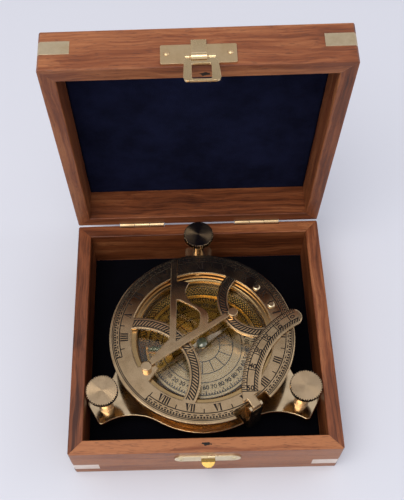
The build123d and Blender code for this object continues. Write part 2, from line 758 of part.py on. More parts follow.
def dial_card():
    """Round card with a slot for the level and a hole for the pivot."""
    with BuildPart() as card:
        with BuildSketch(level(INSTRUMENT, LEDGE_Z)):
            Circle(INSIDE_R)
            with Locations(LEVEL_SPOT):
                Rectangle(LEVEL_L + 2 * FIT, 2 * (LEVEL_R + FIT), mode=Mode.SUBTRACT)
            Circle(PIVOT_R + NAIL_FIT, mode=Mode.SUBTRACT)
        extrude(amount=CARD_T)
    return card


def level_cradle():
    """Brass rim round the level, over the card's slot."""
    with BuildPart() as rim:
        with BuildSketch(level(INSTRUMENT, CARD_TOP)):
            with Locations(LEVEL_SPOT):
                Rectangle(LEVEL_L + 2 * (FIT + LEVEL_RIM), 2 * (LEVEL_R + FIT + LEVEL_RIM))
                Rectangle(LEVEL_L + 2 * FIT, 2 * (LEVEL_R + FIT), mode=Mode.SUBTRACT)
        extrude(amount=LEVEL_RIM)
    return rim


def spirit_level():
    """Glass tube half sunk in the card."""
    with BuildPart() as vial:
        with BuildSketch(along_x(INSTRUMENT, LEVEL_X)):
            with Locations((LEVEL_Y, CARD_TOP + LEVEL_SUNK)):
                Circle(LEVEL_R)
        extrude(amount=LEVEL_L)
        fillet(vial.edges(), LEVEL_R / 3)
    return vial


def needle_pivot():
    """Pointed post through the middle of the card."""
    return turned(INSTRUMENT, [
        (0, LEDGE_Z), (PIVOT_R, LEDGE_Z), (PIVOT_R, CARD_TOP), (PIVOT_FOOT_R, CARD_TOP),
        (PIVOT_FOOT_R, CARD_TOP + PIVOT_FOOT_T), (PIVOT_R, CARD_TOP + PIVOT_FOOT_T),
        (PIVOT_R, CARD_TOP + PIVOT_H - PIVOT_R), (0, CARD_TOP + PIVOT_H)])


def needle():
    """Lozenge with a bored cap that sits on the pivot's point."""
    plate_z = CARD_TOP + PIVOT_H - CAP_T / 2 + NEEDLE_T / 2
    cap_top = CARD_TOP + PIVOT_H + CAP_T / 2
    heading = Plane(NOON.location * Location((0, 0, 0), (0, 0, NEEDLE_DEG)))
    with BuildPart() as blade:
        with BuildSketch(level(heading, plate_z)):
            Polygon((-NEEDLE_TAIL, 0), (0, -NEEDLE_W / 2), (NEEDLE_POINT, 0), (0, NEEDLE_W / 2),
                    align=None)
        extrude(amount=NEEDLE_T)
        with BuildSketch(level(heading, cap_top)):
            Circle(CAP_R)
        extrude(amount=-CAP_T)
        fillet(blade.edges().group_by(Axis.Z)[-1], CAP_T / 3)
        with BuildSketch(level(heading, cap_top - CAP_T)):
            Circle(CAP_BORE_R)
        extrude(amount=CAP_T / 2 + FIT, mode=Mode.SUBTRACT)
    return blade


# Hour ring and its hinge
def hour_ring():
    """Flat ring with two curved arms, a foot plate, a stop and a notch for the arc."""
    with BuildPart() as ring:
        for arm_u, radii in ((LOW_ARM_U, LOW_ARM_R), (HIGH_ARM_U, HIGH_ARM_R)):
            with BuildSketch(level(NOON, RING_Z)):
                with Locations((arm_u, 0)):
                    Circle(radii[1])
                    Circle(radii[0], mode=Mode.SUBTRACT)
                Circle(RING_IN_R + ARM_ROOT, mode=Mode.INTERSECT)
            extrude(amount=RING_T)
        with BuildSketch(level(NOON, RING_Z)):
            Polygon((-RING_IN_R, FOOT_PLATE_V[0]), (FOOT_PLATE_U, FOOT_PLATE_TIP_V[0]),
                    (FOOT_PLATE_U, FOOT_PLATE_TIP_V[1]), (-RING_IN_R, FOOT_PLATE_V[1]),
                    align=None)
        extrude(amount=RING_T)
        with BuildSketch(level(NOON, RING_Z)):
            Circle(RING_OUT_R)
            Circle(RING_IN_R, mode=Mode.SUBTRACT)
            with Locations((sum(RING_NOTCH_U) / 2, -BOWL_R - RING_NOTCH_OUT - RING_OUT_R / 2)):
                Rectangle(RING_NOTCH_U[1] - RING_NOTCH_U[0], RING_OUT_R, mode=Mode.SUBTRACT)
        extrude(amount=RING_T)
        with BuildSketch(level(NOON, RING_TOP)):
            with Locations((sum(STOP_U) / 2, STOP_V)):
                Rectangle(STOP_U[1] - STOP_U[0], STOP_W)
        extrude(amount=STOP_H)
        with BuildSketch(level(NOON, RING_Z)):
            with Locations((RIVET_U, RIVET_V), (RIVET_U, -RIVET_V)):
                Circle(RIVET_R + NAIL_FIT)
        extrude(amount=RING_T, mode=Mode.SUBTRACT)
    return ring


def ring_bracket():
    """Leg under the ring: flange, tapered leg and hinge barrel."""
    flange_z = RING_Z - BRACKET_T
    taper_z = RING_AXIS_Z + LUG_R + 2 * BRACKET_T
    with BuildPart() as bracket:
        with BuildSketch(level(NOON, flange_z)):
            with Locations((BOWL_R + sum(BRACKET_OUT) / 2, 0)):
                Rectangle(BRACKET_OUT[1] - BRACKET_OUT[0], 2 * BRACKET_HALF_W)
            with Locations((RIVET_U, RIVET_V), (RIVET_U, -RIVET_V)):
                Circle(RIVET_R + NAIL_FIT, mode=Mode.SUBTRACT)
        extrude(amount=BRACKET_T)
        with BuildSketch(facing(NOON, (BOWL_R + BRACKET_LEG_OUT, 0, 0), (0, 1, 0), (1, 0, 0))):
            Polygon((-RING_BARREL_HALF, RING_AXIS_Z), (RING_BARREL_HALF, RING_AXIS_Z),
                    (RING_BARREL_HALF, taper_z), (BRACKET_HALF_W, taper_z + RING_BARREL_HALF),
                    (BRACKET_HALF_W, flange_z), (-BRACKET_HALF_W, flange_z),
                    (-BRACKET_HALF_W, taper_z + RING_BARREL_HALF), (-RING_BARREL_HALF, taper_z),
                    align=None)
        extrude(amount=BRACKET_T)
        with BuildSketch(facing(NOON, (0, -RING_BARREL_HALF, 0), (1, 0, 0), (0, -1, 0))):
            with Locations((RING_AXIS_U, RING_AXIS_Z)):
                Circle(RING_BARREL_R)
        extrude(amount=-2 * RING_BARREL_HALF)
        with BuildSketch(facing(NOON, (0, -RING_BARREL_HALF, 0), (1, 0, 0), (0, -1, 0))):
            with Locations((RING_AXIS_U, RING_AXIS_Z)):
                Circle(RING_PIN_R + RUN)
        extrude(amount=-2 * RING_BARREL_HALF, mode=Mode.SUBTRACT)
    return bracket


def ring_hinge_pin():
    """Pin through both lugs and the bracket's barrel."""
    half = RING_BARREL_HALF + GAP + LUG_T
    with BuildPart() as pin:
        with BuildSketch(facing(NOON, (0, -half, 0), (1, 0, 0), (0, -1, 0))):
            with Locations((RING_AXIS_U, RING_AXIS_Z)):
                Circle(RING_PIN_R)
        extrude(amount=-2 * half)
    return pin


def ring_rivets():
    """Two rivets that hold the bracket under the ring."""
    with BuildPart() as rivets:
        for v in (-RIVET_V, RIVET_V):
            with BuildSketch(level(NOON, RING_Z - BRACKET_T)):
                with Locations((RIVET_U, v)):
                    Circle(RIVET_R)
            extrude(amount=BRACKET_T + RING_T)
            with BuildSketch(level(NOON, RING_TOP)):
                with Locations((RIVET_U, v)):
                    Circle(RIVET_HEAD_R)
            extrude(amount=RIVET_HEAD_T)
        fillet(rivets.edges().group_by(Axis.Z)[-1], RIVET_DOME)
    return rivets


# Latitude arc and its post
def latitude_arc():
    """Curved scale plate with a round tip, on a narrow foot and a barrel."""
    rise = ARC_FOOT_V - ARC_CENTRE[1]
    inner_deg = 180.0 - degrees(asin(rise / ARC_IN_R))
    outer_deg = 180.0 - degrees(asin(rise / ARC_OUT_R))
    half_w = ARC_W / 2
    middle_r = ARC_IN_R + half_w
    cap_deg = ARC_TIP_DEG - degrees(half_w / middle_r)
    cap = (ARC_CENTRE[0] + middle_r * cos(radians(cap_deg)),
           ARC_CENTRE[1] + middle_r * sin(radians(cap_deg)))
    with BuildPart() as arc:
        with BuildSketch(level(NOON, ARC_Z)):
            with BuildLine():
                inner = CenterArc(ARC_CENTRE, ARC_IN_R, ARC_TIP_DEG, inner_deg - ARC_TIP_DEG)
                outer = CenterArc(ARC_CENTRE, ARC_OUT_R, ARC_TIP_DEG, outer_deg - ARC_TIP_DEG)
                Line(inner @ 1, outer @ 1)
                ThreePointArc(inner @ 0, cap, outer @ 0)
            make_face()
        extrude(amount=ARC_T)
        with BuildSketch(level(NOON, ARC_Z)):
            foot_v = ARC_AXIS_V - ARC_T
            with Locations((0, (foot_v + ARC_FOOT_V + ARC_T) / 2)):
                Rectangle(2 * ARC_BARREL_HALF, ARC_FOOT_V + ARC_T - foot_v)
        extrude(amount=ARC_T)
        with BuildSketch(along_x(NOON, -ARC_BARREL_HALF)):
            with Locations((ARC_AXIS_V, ARC_AXIS_Z)):
                Circle(ARC_BARREL_R)
            with Locations((ARC_AXIS_V, (ARC_AXIS_Z + ARC_Z + ARC_T / 2) / 2)):
                Rectangle(ARC_T, ARC_Z + ARC_T / 2 - ARC_AXIS_Z)
        extrude(amount=2 * ARC_BARREL_HALF)
        with BuildSketch(along_x(NOON, -ARC_BARREL_HALF)):
            with Locations((ARC_AXIS_V, ARC_AXIS_Z)):
                Circle(ARC_PIN_R + RUN)
        extrude(amount=2 * ARC_BARREL_HALF, mode=Mode.SUBTRACT)
    return arc


def arc_post():
    """Forked post in the plate's notch."""
    half_w = ARC_BARREL_HALF + GAP + EAR_T
    front_v = ARC_AXIS_V - EAR_R
    seat_v = -BOWL_R - NOTCH_OUT
    inner_v = -BOWL_R - POST_OUT
    fork_z = ARC_AXIS_Z - ARC_BARREL_R - GAP
    with BuildPart() as post:
        with BuildSketch(along_x(NOON, -half_w)):
            Polygon((seat_v, PLATE_Z), (seat_v, PLATE_TOP), (inner_v, PLATE_TOP),
                    (inner_v, fork_z), (ARC_AXIS_V + EAR_R, ARC_AXIS_Z), (front_v, ARC_AXIS_Z),
                    (front_v, PLATE_Z), align=None)
            with Locations((ARC_AXIS_V, ARC_AXIS_Z)):
                Circle(EAR_R)
        extrude(amount=2 * half_w)
        with BuildSketch(level(NOON, fork_z)):
            with Locations((0, ARC_AXIS_V)):
                Rectangle(2 * (ARC_BARREL_HALF + GAP), 4 * EAR_R)
        extrude(amount=ARC_T + 2 * EAR_R, mode=Mode.SUBTRACT)
        with BuildSketch(along_x(NOON, -half_w)):
            with Locations((ARC_AXIS_V, ARC_AXIS_Z)):
                Circle(ARC_PIN_R + RUN)
        extrude(amount=2 * half_w, mode=Mode.SUBTRACT)
    return post


def arc_pin():
    """Pin through the post's ears and the arc's barrel."""
    half_w = ARC_BARREL_HALF + GAP + EAR_T
    with BuildPart() as pin:
        with BuildSketch(along_x(NOON, -half_w)):
            with Locations((ARC_AXIS_V, ARC_AXIS_Z)):
                Circle(ARC_PIN_R)
        extrude(amount=2 * half_w)
    return pin


# Gnomon
def style_edge(side, v):
    """Point on one long edge of the style strip, at a distance from the noon line."""
    run = STYLE_TIP[0] - STYLE_FOOT[0]
    rise = STYLE_TIP[1] - STYLE_FOOT[1]
    half = STYLE_W / 2 * hypot(run, rise) / rise
    return (STYLE_FOOT[0] + (v - STYLE_FOOT[1]) * run / rise + side * half, v)


def gnomon():
    """Folding plate: bar with two stubs, slanted style strip and a curved brace."""
    bar_low = GNOMON_V - BAR_HALF_W
    bar_high = bar_low + BAR_W
    ends = (BOSS_U[0] + BOSS_R + GAP, BOSS_U[1] - BOSS_R - GAP)
    with BuildPart() as plate:
        with BuildSketch(level(NOON, GNOMON_Z)):
            with BuildLine():
                Polyline(HARP_OUTER[0], (HARP_OUTER[0][0], bar_high), (ends[1], bar_high),
                         (ends[1], bar_low), (ends[0], bar_low), (ends[0], bar_high),
                         style_edge(-1, STYLE_FOOT[1] + STYLE_W / 2), style_edge(-1, STYLE_TIP[1]),
                         style_edge(1, STYLE_TIP[1]), style_edge(1, HORN_ROOT_V))
                ThreePointArc(style_edge(1, HORN_ROOT_V), HORN_BACK, HARP_OUTER[-1])
                Spline(*HARP_OUTER)
            make_face()
            with BuildLine():
                Polyline(HARP_INNER[-1], style_edge(1, HARP_INNER[-1][1] + WINDOW_R),
                         style_edge(1, HARP_INNER[0][1]), HARP_INNER[0])
                Spline(*HARP_INNER)
            make_face(mode=Mode.SUBTRACT)
        extrude(amount=GNOMON_T)
        for start, sign in ((ends[0], -1), (ends[1], 1)):
            with BuildSketch(along_x(NOON, start - sign * FIT)):
                with Locations((GNOMON_V, GNOMON_AXIS_Z)):
                    Circle(STUB_R)
            extrude(amount=sign * (STUB_L + FIT))
    return plate


def gnomon_bosses():
    """Two round posts on the hour ring, bored for the gnomon's stubs."""
    with BuildPart() as bosses:
        with BuildSketch(level(NOON, RING_TOP)):
            with Locations((BOSS_U[0], GNOMON_V), (BOSS_U[1], GNOMON_V)):
                Circle(BOSS_R)
        extrude(amount=BOSS_H)
        chamfer(bosses.edges().group_by(Axis.Z)[-1], PLATE_BEVEL)
        for boss_u, sign in ((BOSS_U[0], 1), (BOSS_U[1], -1)):
            with BuildSketch(along_x(NOON, boss_u + sign * (BOSS_R - STUB_L))):
                with Locations((GNOMON_V, GNOMON_AXIS_Z)):
                    Circle(STUB_R + RUN)
            extrude(amount=sign * BOSS_R, mode=Mode.SUBTRACT)
    return bosses


# Levelling screws
def screw_frame(where):
    """Frame on a screw's axis, raised for the back screw."""
    up = BACK_SCREW_UP if where == "back" else 0.0
    turn = screw_turns()[SCREWS.index(where)]
    return Plane(INSTRUMENT.location * turn * Location((SCREW_PITCH_R, 0, up)))


def stud(where):
    """Threaded post that stands on the floor and reaches into the knob."""
    with BuildPart() as post:
        with BuildSketch(level(screw_frame(where), FOOT_Z)):
            Circle(STUD_R)
        extrude(amount=PLATE_TOP + REST + STUD_SEAT - FOOT_Z - FIT)
        chamfer(post.edges().group_by(Axis.Z)[0], STUD_R / 3)
    return post


def knob(where):
    """Knurled head on a neck with a collar, bored for the stud."""
    frame = screw_frame(where)
    head_z = KNOB_TOP - KNOB_HEAD_T
    collar_z = PLATE_TOP + REST
    tooth = 2 * pi / KNURL_TEETH
    rim = []
    for index in range(KNURL_TEETH):
        rim.append((KNOB_R * cos(index * tooth), KNOB_R * sin(index * tooth)))
        root = KNOB_R - KNURL_DEPTH
        rim.append((root * cos((index + 0.5) * tooth), root * sin((index + 0.5) * tooth)))
    with BuildPart() as head:
        with BuildSketch(level(frame, head_z)):
            Polygon(*rim, align=None)
        extrude(amount=KNOB_HEAD_T)
        with BuildSketch(level(frame, collar_z)):
            Circle(NECK_R)
        extrude(amount=head_z - collar_z)
        with BuildSketch(level(frame, collar_z)):
            Circle(COLLAR_R)
        extrude(amount=COLLAR_T)
        with BuildSketch(level(frame, collar_z)):
            Circle(STUD_R + RUN)
        extrude(amount=STUD_SEAT, mode=Mode.SUBTRACT)
    return head


def build_case():
    """Walls, panels, linings, straps and hinges of base and lid."""
    base_straps = corner_straps(BASE, STRAP_INSET - STRAP_W / 2)
    lid_straps = corner_straps(LID, LID_TOP - STRAP_INSET - STRAP_W / 2)
    save(base_straps, "base_corner_straps")
    save(lid_straps, "lid_corner_straps")
    for side in SIDES:
        base_pockets = [base_straps]
        lid_pockets = [lid_straps]
        if side == "back":
            base_pockets += [leaf_pocket(BASE, x) for x in HINGE_X.values()]
            base_pockets.append(hinge_nails(BASE, NAIL_FIT))
            lid_pockets += [leaf_pocket(LID, x) for x in HINGE_X.values()]
            lid_pockets.append(hinge_nails(LID, NAIL_FIT))
        if side == "front":
            base_pockets.append(dome_nails(BASE, CATCH_SPOTS, NAIL_FIT))
            lid_pockets.append(dome_nails(LID, HASP_SPOTS, NAIL_FIT))
        save(mitred_wall(BASE, side, 0.0, BASE_H, 0.0, BASE_PANEL_T, base_pockets),
             f"base_{side}_wall")
        save(mitred_wall(LID, side, RIM_Z, LID_TOP, LID_TOP - LID_PANEL_T, LID_PANEL_T,
                         lid_pockets), f"lid_{side}_wall")
    save(panel(BASE, 0.0), "base_panel")
    save(panel(LID, LID_TOP - LID_PANEL_T), "lid_panel")
    save(lining(BASE, BASE_PANEL_T), "base_lining")
    save(lining(LID, LID_LINING_Z), "lid_lining")
    for side, x in HINGE_X.items():
        save(hinge_leaf(BASE, x), f"{side}_base_leaf")
        save(hinge_leaf(LID, x), f"{side}_lid_leaf")
        save(hinge_pin(x), f"{side}_hinge_pin")
    save(hinge_nails(BASE), "base_hinge_nails")
    save(hinge_nails(LID), "lid_hinge_nails")


def build_front():
    """Catch, plates, nails and hasp."""
    save(catch_plate(), "catch_plate")
    save(dome_nails(BASE, CATCH_SPOTS), "catch_nails")
    save(hasp_plate(), "hasp_plate")
    save(dome_nails(LID, HASP_SPOTS), "hasp_nails")
    save(hasp_strip(), "hasp_strip")
    save(hasp(), "hasp")
    save(hasp_pin(), "hasp_pin")


def build_instrument():
    """Sundial compass that stands in the base."""
    save(lobed_base(), "lobed_base")
    save(bowl(), "bowl")
    save(bezel(), "bezel")
    save(glass(), "glass")
    save(cone_ring(), "cone_ring")
    save(dial_card(), "dial_card")
    save(level_cradle(), "level_cradle")
    save(spirit_level(), "spirit_level")
    save(needle_pivot(), "needle_pivot")
    save(needle(), "needle")
    save(hour_ring(), "hour_ring")
    save(ring_bracket(), "ring_bracket")
    save(ring_hinge_pin(), "ring_hinge_pin")
    save(ring_rivets(), "ring_rivets")
    save(latitude_arc(), "latitude_arc")
    save(arc_post(), "arc_post")
    save(arc_pin(), "arc_pin")
    save(gnomon(), "gnomon")
    save(gnomon_bosses(), "gnomon_bosses")
    for where in SCREWS:
        save(stud(where), f"{where}_stud")
        save(knob(where), f"{where}_knob")


os.makedirs("parts", exist_ok=True)
build_case()
build_front()
build_instrument()
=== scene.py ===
import json
from collections import namedtuple
from math import atan2, cos, hypot, pi, radians, sin

import bpy
from bpy.props import FloatProperty, FloatVectorProperty, PointerProperty
from mathutils import Matrix, Vector, noise


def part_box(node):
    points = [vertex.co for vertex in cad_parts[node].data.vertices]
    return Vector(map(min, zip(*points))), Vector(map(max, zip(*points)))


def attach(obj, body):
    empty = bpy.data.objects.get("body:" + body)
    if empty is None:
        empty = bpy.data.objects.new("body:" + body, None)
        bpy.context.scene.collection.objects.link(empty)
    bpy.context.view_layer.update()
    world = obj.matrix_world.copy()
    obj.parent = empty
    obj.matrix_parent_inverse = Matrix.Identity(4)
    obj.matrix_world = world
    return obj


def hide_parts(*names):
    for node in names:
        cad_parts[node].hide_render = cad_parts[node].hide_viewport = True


bl_info = {
    "name": "Compass box looks",
    "version": (1, 0, 0),
    "blender": (4, 5, 0),
    "location": "View3D > Sidebar > Compass box",
    "description": "Dresses a wooden case with a brass sundial compass: finishes, engraving, "
                   "velvet and studio",
    "category": "Object",
}

MM = 0.001
MIX_A, MIX_B, MIX_OUT = 6, 7, 2      # colour sockets of a Mix node

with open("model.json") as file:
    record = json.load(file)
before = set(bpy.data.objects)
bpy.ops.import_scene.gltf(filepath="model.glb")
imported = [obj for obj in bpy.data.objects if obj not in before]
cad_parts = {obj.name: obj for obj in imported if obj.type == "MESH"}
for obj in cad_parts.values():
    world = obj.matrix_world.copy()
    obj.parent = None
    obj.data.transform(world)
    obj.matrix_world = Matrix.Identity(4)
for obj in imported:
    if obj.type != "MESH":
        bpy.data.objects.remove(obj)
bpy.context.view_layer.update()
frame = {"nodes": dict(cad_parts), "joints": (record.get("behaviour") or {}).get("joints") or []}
NODES = frame["nodes"]
JOINTS = {joint["name"]: joint for joint in frame["joints"]}


# Places worked out from the frame
def corners(node):
    """Lowest and highest corner of a CAD node."""
    low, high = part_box(node)
    return Vector(low), Vector(high)


def middle(node):
    """Middle of a CAD node's box."""
    low, high = corners(node)
    return (low + high) / 2


def reach(node, centre):
    """Largest distance of a node's points from an upright axis."""
    return max(hypot(v.co.x - centre.x, v.co.y - centre.y) for v in NODES[node].data.vertices)


AXIS = middle("bezel")
NOON = atan2(JOINTS["latitude_arc_swing"]["axis"][1], JOINTS["latitude_arc_swing"]["axis"][0])
NOON_FRAME = Matrix.Translation((AXIS.x, AXIS.y, 0)) @ Matrix.Rotation(NOON, 4, "Z")
RING_OUT = reach("hour_ring", AXIS)
RING_TOP = corners("gnomon_bosses")[0].z
ARC_TOP = corners("latitude_arc")[1].z
CARD_TOP = corners("dial_card")[1].z
RING_HINGE = Vector(JOINTS["hour_ring_tilt"]["pos_m"])
ARC_HINGE = Vector(JOINTS["latitude_arc_swing"]["pos_m"])
HINGE_X = (NOON_FRAME.inverted() @ RING_HINGE).x
HINGE_RISE = ARC_HINGE.z - RING_HINGE.z
ARC_CENTRE = NOON_FRAME @ Vector((
    HINGE_X, (NOON_FRAME.inverted() @ ARC_HINGE).y - HINGE_RISE, 0))
ARC_EDGE = 6.2 * MM                  # the arc's outer edge beyond the circle through its hinge
ARC_OUT = hypot(HINGE_X, HINGE_RISE) + ARC_EDGE
LID_HINGE = Vector(JOINTS["lid_hinge"]["pos_m"])
LID_TURN = radians(JOINTS["lid_hinge"]["range_deg"][0])
LID_OPEN = Matrix.Translation(LID_HINGE) @ Matrix.Rotation(LID_TURN, 4, "X") \
    @ Matrix.Translation(-LID_HINGE)
SCREWS = ("back", "left", "right")


# Small tools
def colour(hex_value):
    """Linear colour from an sRGB hex value."""
    parts = [int(hex_value[i:i + 2], 16) / 255 for i in (1, 3, 5)]
    return [p / 12.92 if p <= 0.04045 else ((p + 0.055) / 1.055) ** 2.4 for p in parts] + [1.0]


def rgba(value):
    """Four part colour from a setting."""
    return (*value, 1.0)


def add(tree, kind, inputs=None, **settings):
    """Add a node with its settings, values and links."""
    made = tree.nodes.new("ShaderNode" + kind)
    for key, value in settings.items():
        setattr(made, key, value)
    for key, value in (inputs or {}).items():
        if isinstance(value, bpy.types.Node):
            value = value.outputs[0]
        if isinstance(value, bpy.types.NodeSocket):
            tree.links.new(value, made.inputs[key])
        else:
            made.inputs[key].default_value = value
    return made


def new_material(name):
    """Empty material, its tree and the object coordinates."""
    material = bpy.data.materials.new(name)
    material.use_nodes = True
    tree = material.node_tree
    tree.nodes.clear()
    return material, tree, add(tree, "TexCoord").outputs["Object"]


def paint(material, *nodes):
    """Give CAD nodes a material in their own slots."""
    for name in nodes:
        slots = NODES[name].material_slots
        if not slots:
            NODES[name].data.materials.append(material)
        for slot in slots:
            slot.material = material


def deselect():
    """Leave nothing selected, as each primitive needs."""
    bpy.ops.object.select_all(action="DESELECT")


def settle(piece, matrix, name):
    """Put a finished piece's place into its mesh and name it."""
    piece.data.transform(matrix @ piece.matrix_world)
    piece.matrix_world = Matrix.Identity(4)
    piece.name = name
    piece.data.name = name
    return piece


def join(pieces, name):
    """One piece from several."""
    deselect()
    for piece in pieces:
        piece.select_set(True)
    bpy.context.view_layer.objects.active = pieces[0]
    bpy.ops.object.join()
    pieces[0].name = name
    pieces[0].data.name = name
    return pieces[0]


# Settings
def tint(name, description, hex_value):
    """Colour that a user can change."""
    return FloatVectorProperty(name=name, description=description, subtype="COLOR", size=3,
                               min=0, max=1, default=colour(hex_value)[:3])


def length(name, description, millimetres):
    """Length that a user can change."""
    return FloatProperty(name=name, description=description, unit="LENGTH",
                         default=millimetres * MM)


def sweep(name, description, degrees):
    """Angle that a user can change."""
    return FloatProperty(name=name, description=description, unit="ROTATION",
                         default=radians(degrees))


class CaseSettings(bpy.types.PropertyGroup):
    """Wood and velvet of the case"""
    wood_dark: tint("Dark streaks", "Colour of the dark streaks in the wood", "#421f10")
    wood_middle: tint("Heartwood", "Main colour of the wood", "#7e4425")
    wood_light: tint("Light streaks", "Colour of the light streaks in the wood", "#a86a41")
    figure_width: length("Figure width", "Width of the wood's bands across the grain", 8.5)
    figure_length: length("Figure length", "Length of the wood's bands along the grain", 130)
    ring_width: length("Growth line", "Distance of the wood's fine growth lines", 1.3)
    pore_width: length("Pore width", "Width of the pores, drawn coarse so that they show", 0.5)
    pore_length: length("Pore length", "Length of the open pores", 5)
    chip: length("Chip", "Length of the splintered spot in the front rims", 4.4)
    chip_colour: tint("Chip's hollow", "Colour inside the splintered spots", "#0d0604")
    lid_velvet: tint("Lid velvet", "Colour of the lid's velvet", "#181c34")
    # Painted shade: the base's velvet is painted darker for the shade inside the box
    base_velvet: tint("Base velvet", "Colour of the base's velvet, brushed flat", "#07070d")
    velvet_shade: tint("Velvet shade", "Colour of the pile where it leans away", "#030307")
    velvet_sheen: tint("Velvet sheen", "Colour of the pile's gleam", "#5a63a0")


class BrassSettings(bpy.types.PropertyGroup):
    """Colours of the brass parts and of their engraving"""
    brass: tint("Brass", "Colour of hour ring, latitude arc, gnomon and studs", "#c4a781")
    tarnish: tint("Tarnish", "Colour of the brass where it has dulled", "#96754a")
    plate: tint("Fittings", "Colour of the case's lacquered hinges and plates", "#dabd92")
    hasp: tint("Hasp", "Colour of the hasp and its strip", "#e8cb9c")
    lid_strap: tint("Lid straps", "Colour of the lid's corner straps", "#e2cda9")
    # Painted highlight: the base's straps are painted pale for the front light on them
    base_strap: tint("Base straps", "Colour of the base's straps, rubbed pale", "#f6e8da")
    # Painted highlight: the catch's face is painted pale for the front light on it; the tongue is
    # painted darker
    catch: tint("Catch", "Colour of the catch on the base's front", "#f2e4bd")
    tongue: tint("Tongue", "Colour of the catch's tongue", "#a48549")
    casting: tint("Casting", "Colour of the lobed base", "#d8be98")
    bowl: tint("Bowl", "Colour of the bowl and the needle's pivot", "#d6c09a")
    bezel: tint("Bezel", "Colour of the bezel round the glass", "#bd9d6d")
    cone: tint("Cone ring", "Colour of the cone ring under the glass", "#dcb86c")
    small: tint("Small parts", "Colour of bracket, post, pins and rivets", "#dcc49e")
    knob: tint("Knobs", "Colour of the levelling screws' knobs", "#cfb28d")
    fill: tint("Engraving", "Colour of the wax in the engraved lines", "#080503")
    crumb: tint("Wax crumbs", "Colour of the wax where it is worn", "#2a1d15")
    line: length("Line", "Width of an engraved line, drawn coarse so that it shows", 0.52)


class DialSettings(bpy.types.PropertyGroup):
    """Colours of dial, needle, glass and level"""
    # The dial's silver is a painted reflection on its front part; gold is the rest of the dial
    gold: tint("Dial's gold", "Colour of the dial where its silver is worn off", "#a8823c")
    silver: tint("Dial's silver", "Colour of the dial's silvered part", "#cdb795")
    ink: tint("Dial's print", "Colour of the dial's lines", "#120e09")
    steel_dark: tint("Steel's dark", "Darker tone of the needle", "#cfcab8")
    steel_light: tint("Steel's light", "Lighter tone of the needle", "#f2efe4")
    glass: tint("Glass", "Colour of the glass over the dial", "#fbf9f2")
    glass_shade: tint("Glass's shade", "Colour of the light through the glass", "#e4ebe4")
    spirit_dark: tint("Spirit's dark", "Darker tone of the level's fluid", "#6f7438")
    spirit_light: tint("Spirit's light", "Lighter tone of the level's fluid", "#93975c")
    agate_dark: tint("Agate's dark", "Darker tone of the needle's cap", "#363b33")
    agate_light: tint("Agate's light", "Lighter tone of the needle's cap", "#777d6c")


class ScaleSettings(bpy.types.PropertyGroup):
    """Hours and figures on ring, arc and dial"""
    afternoon_hour: sweep("Afternoon hour", "Angle between the hours after noon", 19.43)
    morning_hour: sweep("Morning hour", "Angle between the hours before noon", 18.2)
    noon_turn: sweep("Noon", "Angle from the noon line to the XII", 2.6)
    numeral_height: length("Numeral height", "Height of the hour ring's numerals", 4.4)
    numeral_in: length("Numerals from edge", "Numerals' middle in from the ring's edge", 8.1)
    relief: length("Relief", "How far the filled numerals stand over the brass", 0.02)
    arc_figure: length("Latitude figures", "Height of the latitude arc's figures", 2.9)
    arc_figure_in: length("Latitude figures from edge", "Figures' middle in from the edge", 4.7)
    dial_figure: length("Dial figures", "Height of the dial's figures", 2.6)
    dial_figure_r: length("Dial figures' circle", "Radius of the dial figures' circle", 26.4)


class StageSettings(bpy.types.PropertyGroup):
    """Floor and light"""
    floor: tint("Floor", "Colour of the floor and the backdrop", "#d6d8e0")
    sky_colour: tint("Sky colour", "Colour of the even light", "#f6f7ff")
    sky: FloatProperty(
        name="Sky", description="Strength of the even light from overhead", default=0.86)
    horizon: FloatProperty(
        name="Horizon", description="Strength of the even light from low down", default=0.26)
    key: FloatProperty(
        name="Key lamp", description="Power of the large lamp over the case",
        unit="POWER", default=7.9)


# Engraved patterns, as masks that are 1 in a line. Lines, strokes and dots are drawn coarser than
# the real ones, so that they show.
Mark = namedtuple("Mark", "low high step width start lean span", defaults=(0, 0, 0, 0, None))
ONCE = 2 * pi                        # step of a stroke that comes once
FACE_SLACK = 0.05 * MM               # a face this near to the engraved height is engraved

# Hour ring. Its engraving is moved towards where the photo shows the ring, because the solid
# ring lies a little to the front of that place.
HOUR_CENTRE = AXIS + Vector((0.3, 0.7, 0)) * MM
HOUR_BAND = radians(163)             # reach of the dashes and dots to each side of noon
RING_LINES = (5.4, 4.15, 2.95, 2.05, 1.25)   # mm from the edge: band, dashes, dots, two lines
RIM_LINE = 0.85                      # width of the two outer circles, as a share of a line's
DASH_LONG, DASH_WIDE = 1.8 * MM, 0.52 * MM
DOT = 1.0 * MM
HALF_HOUR = 2.5 * MM                 # length of a half hour's stroke
DASHES, DOTS = 5, 10                 # to the hour

# The ring's two arms: centre on the noon line and the border's two radii
ARM_BORDERS = ((-43.5 * MM, 30.3 * MM, 34.0 * MM), (40.0 * MM, 19.4 * MM, 22.7 * MM))
ARM_END = 40.3 * MM                  # radius at which the arms run into the ring
ARM_STEP = 1.8 * MM                  # from one stroke of the arms' border to the next
ARM_STROKE = 0.85 * MM
ARM_SLANT = 2.5 * MM                 # way along the radius on which a stroke gains one step
BORDER_GAP = 0.3 * MM                # between a border's strokes and its line

# Latitude arc, its angles from the noon line
ARC_START = radians(85.1)            # figure 0
ARC_STEP = radians(11.35)            # from one figure to the next
ARC_LAST = radians(145.6)            # figure 50, a little nearer than a whole step
ARC_BAND = (radians(81.5), radians(147.6))
ARC_LINES = (2.7, 6.7, 8.8)          # mm from the edge: degrees, boxes, twisted border
ARC_BOX_TURN = radians(2.5)          # from a figure to the side of its box
ARC_TICK = 0.5 * MM
ARC_SHORT = 1.6 * MM                 # length of the ticks between the degrees
ARC_ROPE_STEP = radians(2.1)
ARC_ROPE = 0.95 * MM
ARC_ROPE_LEAN = radians(2.2) / (2.0 * MM)

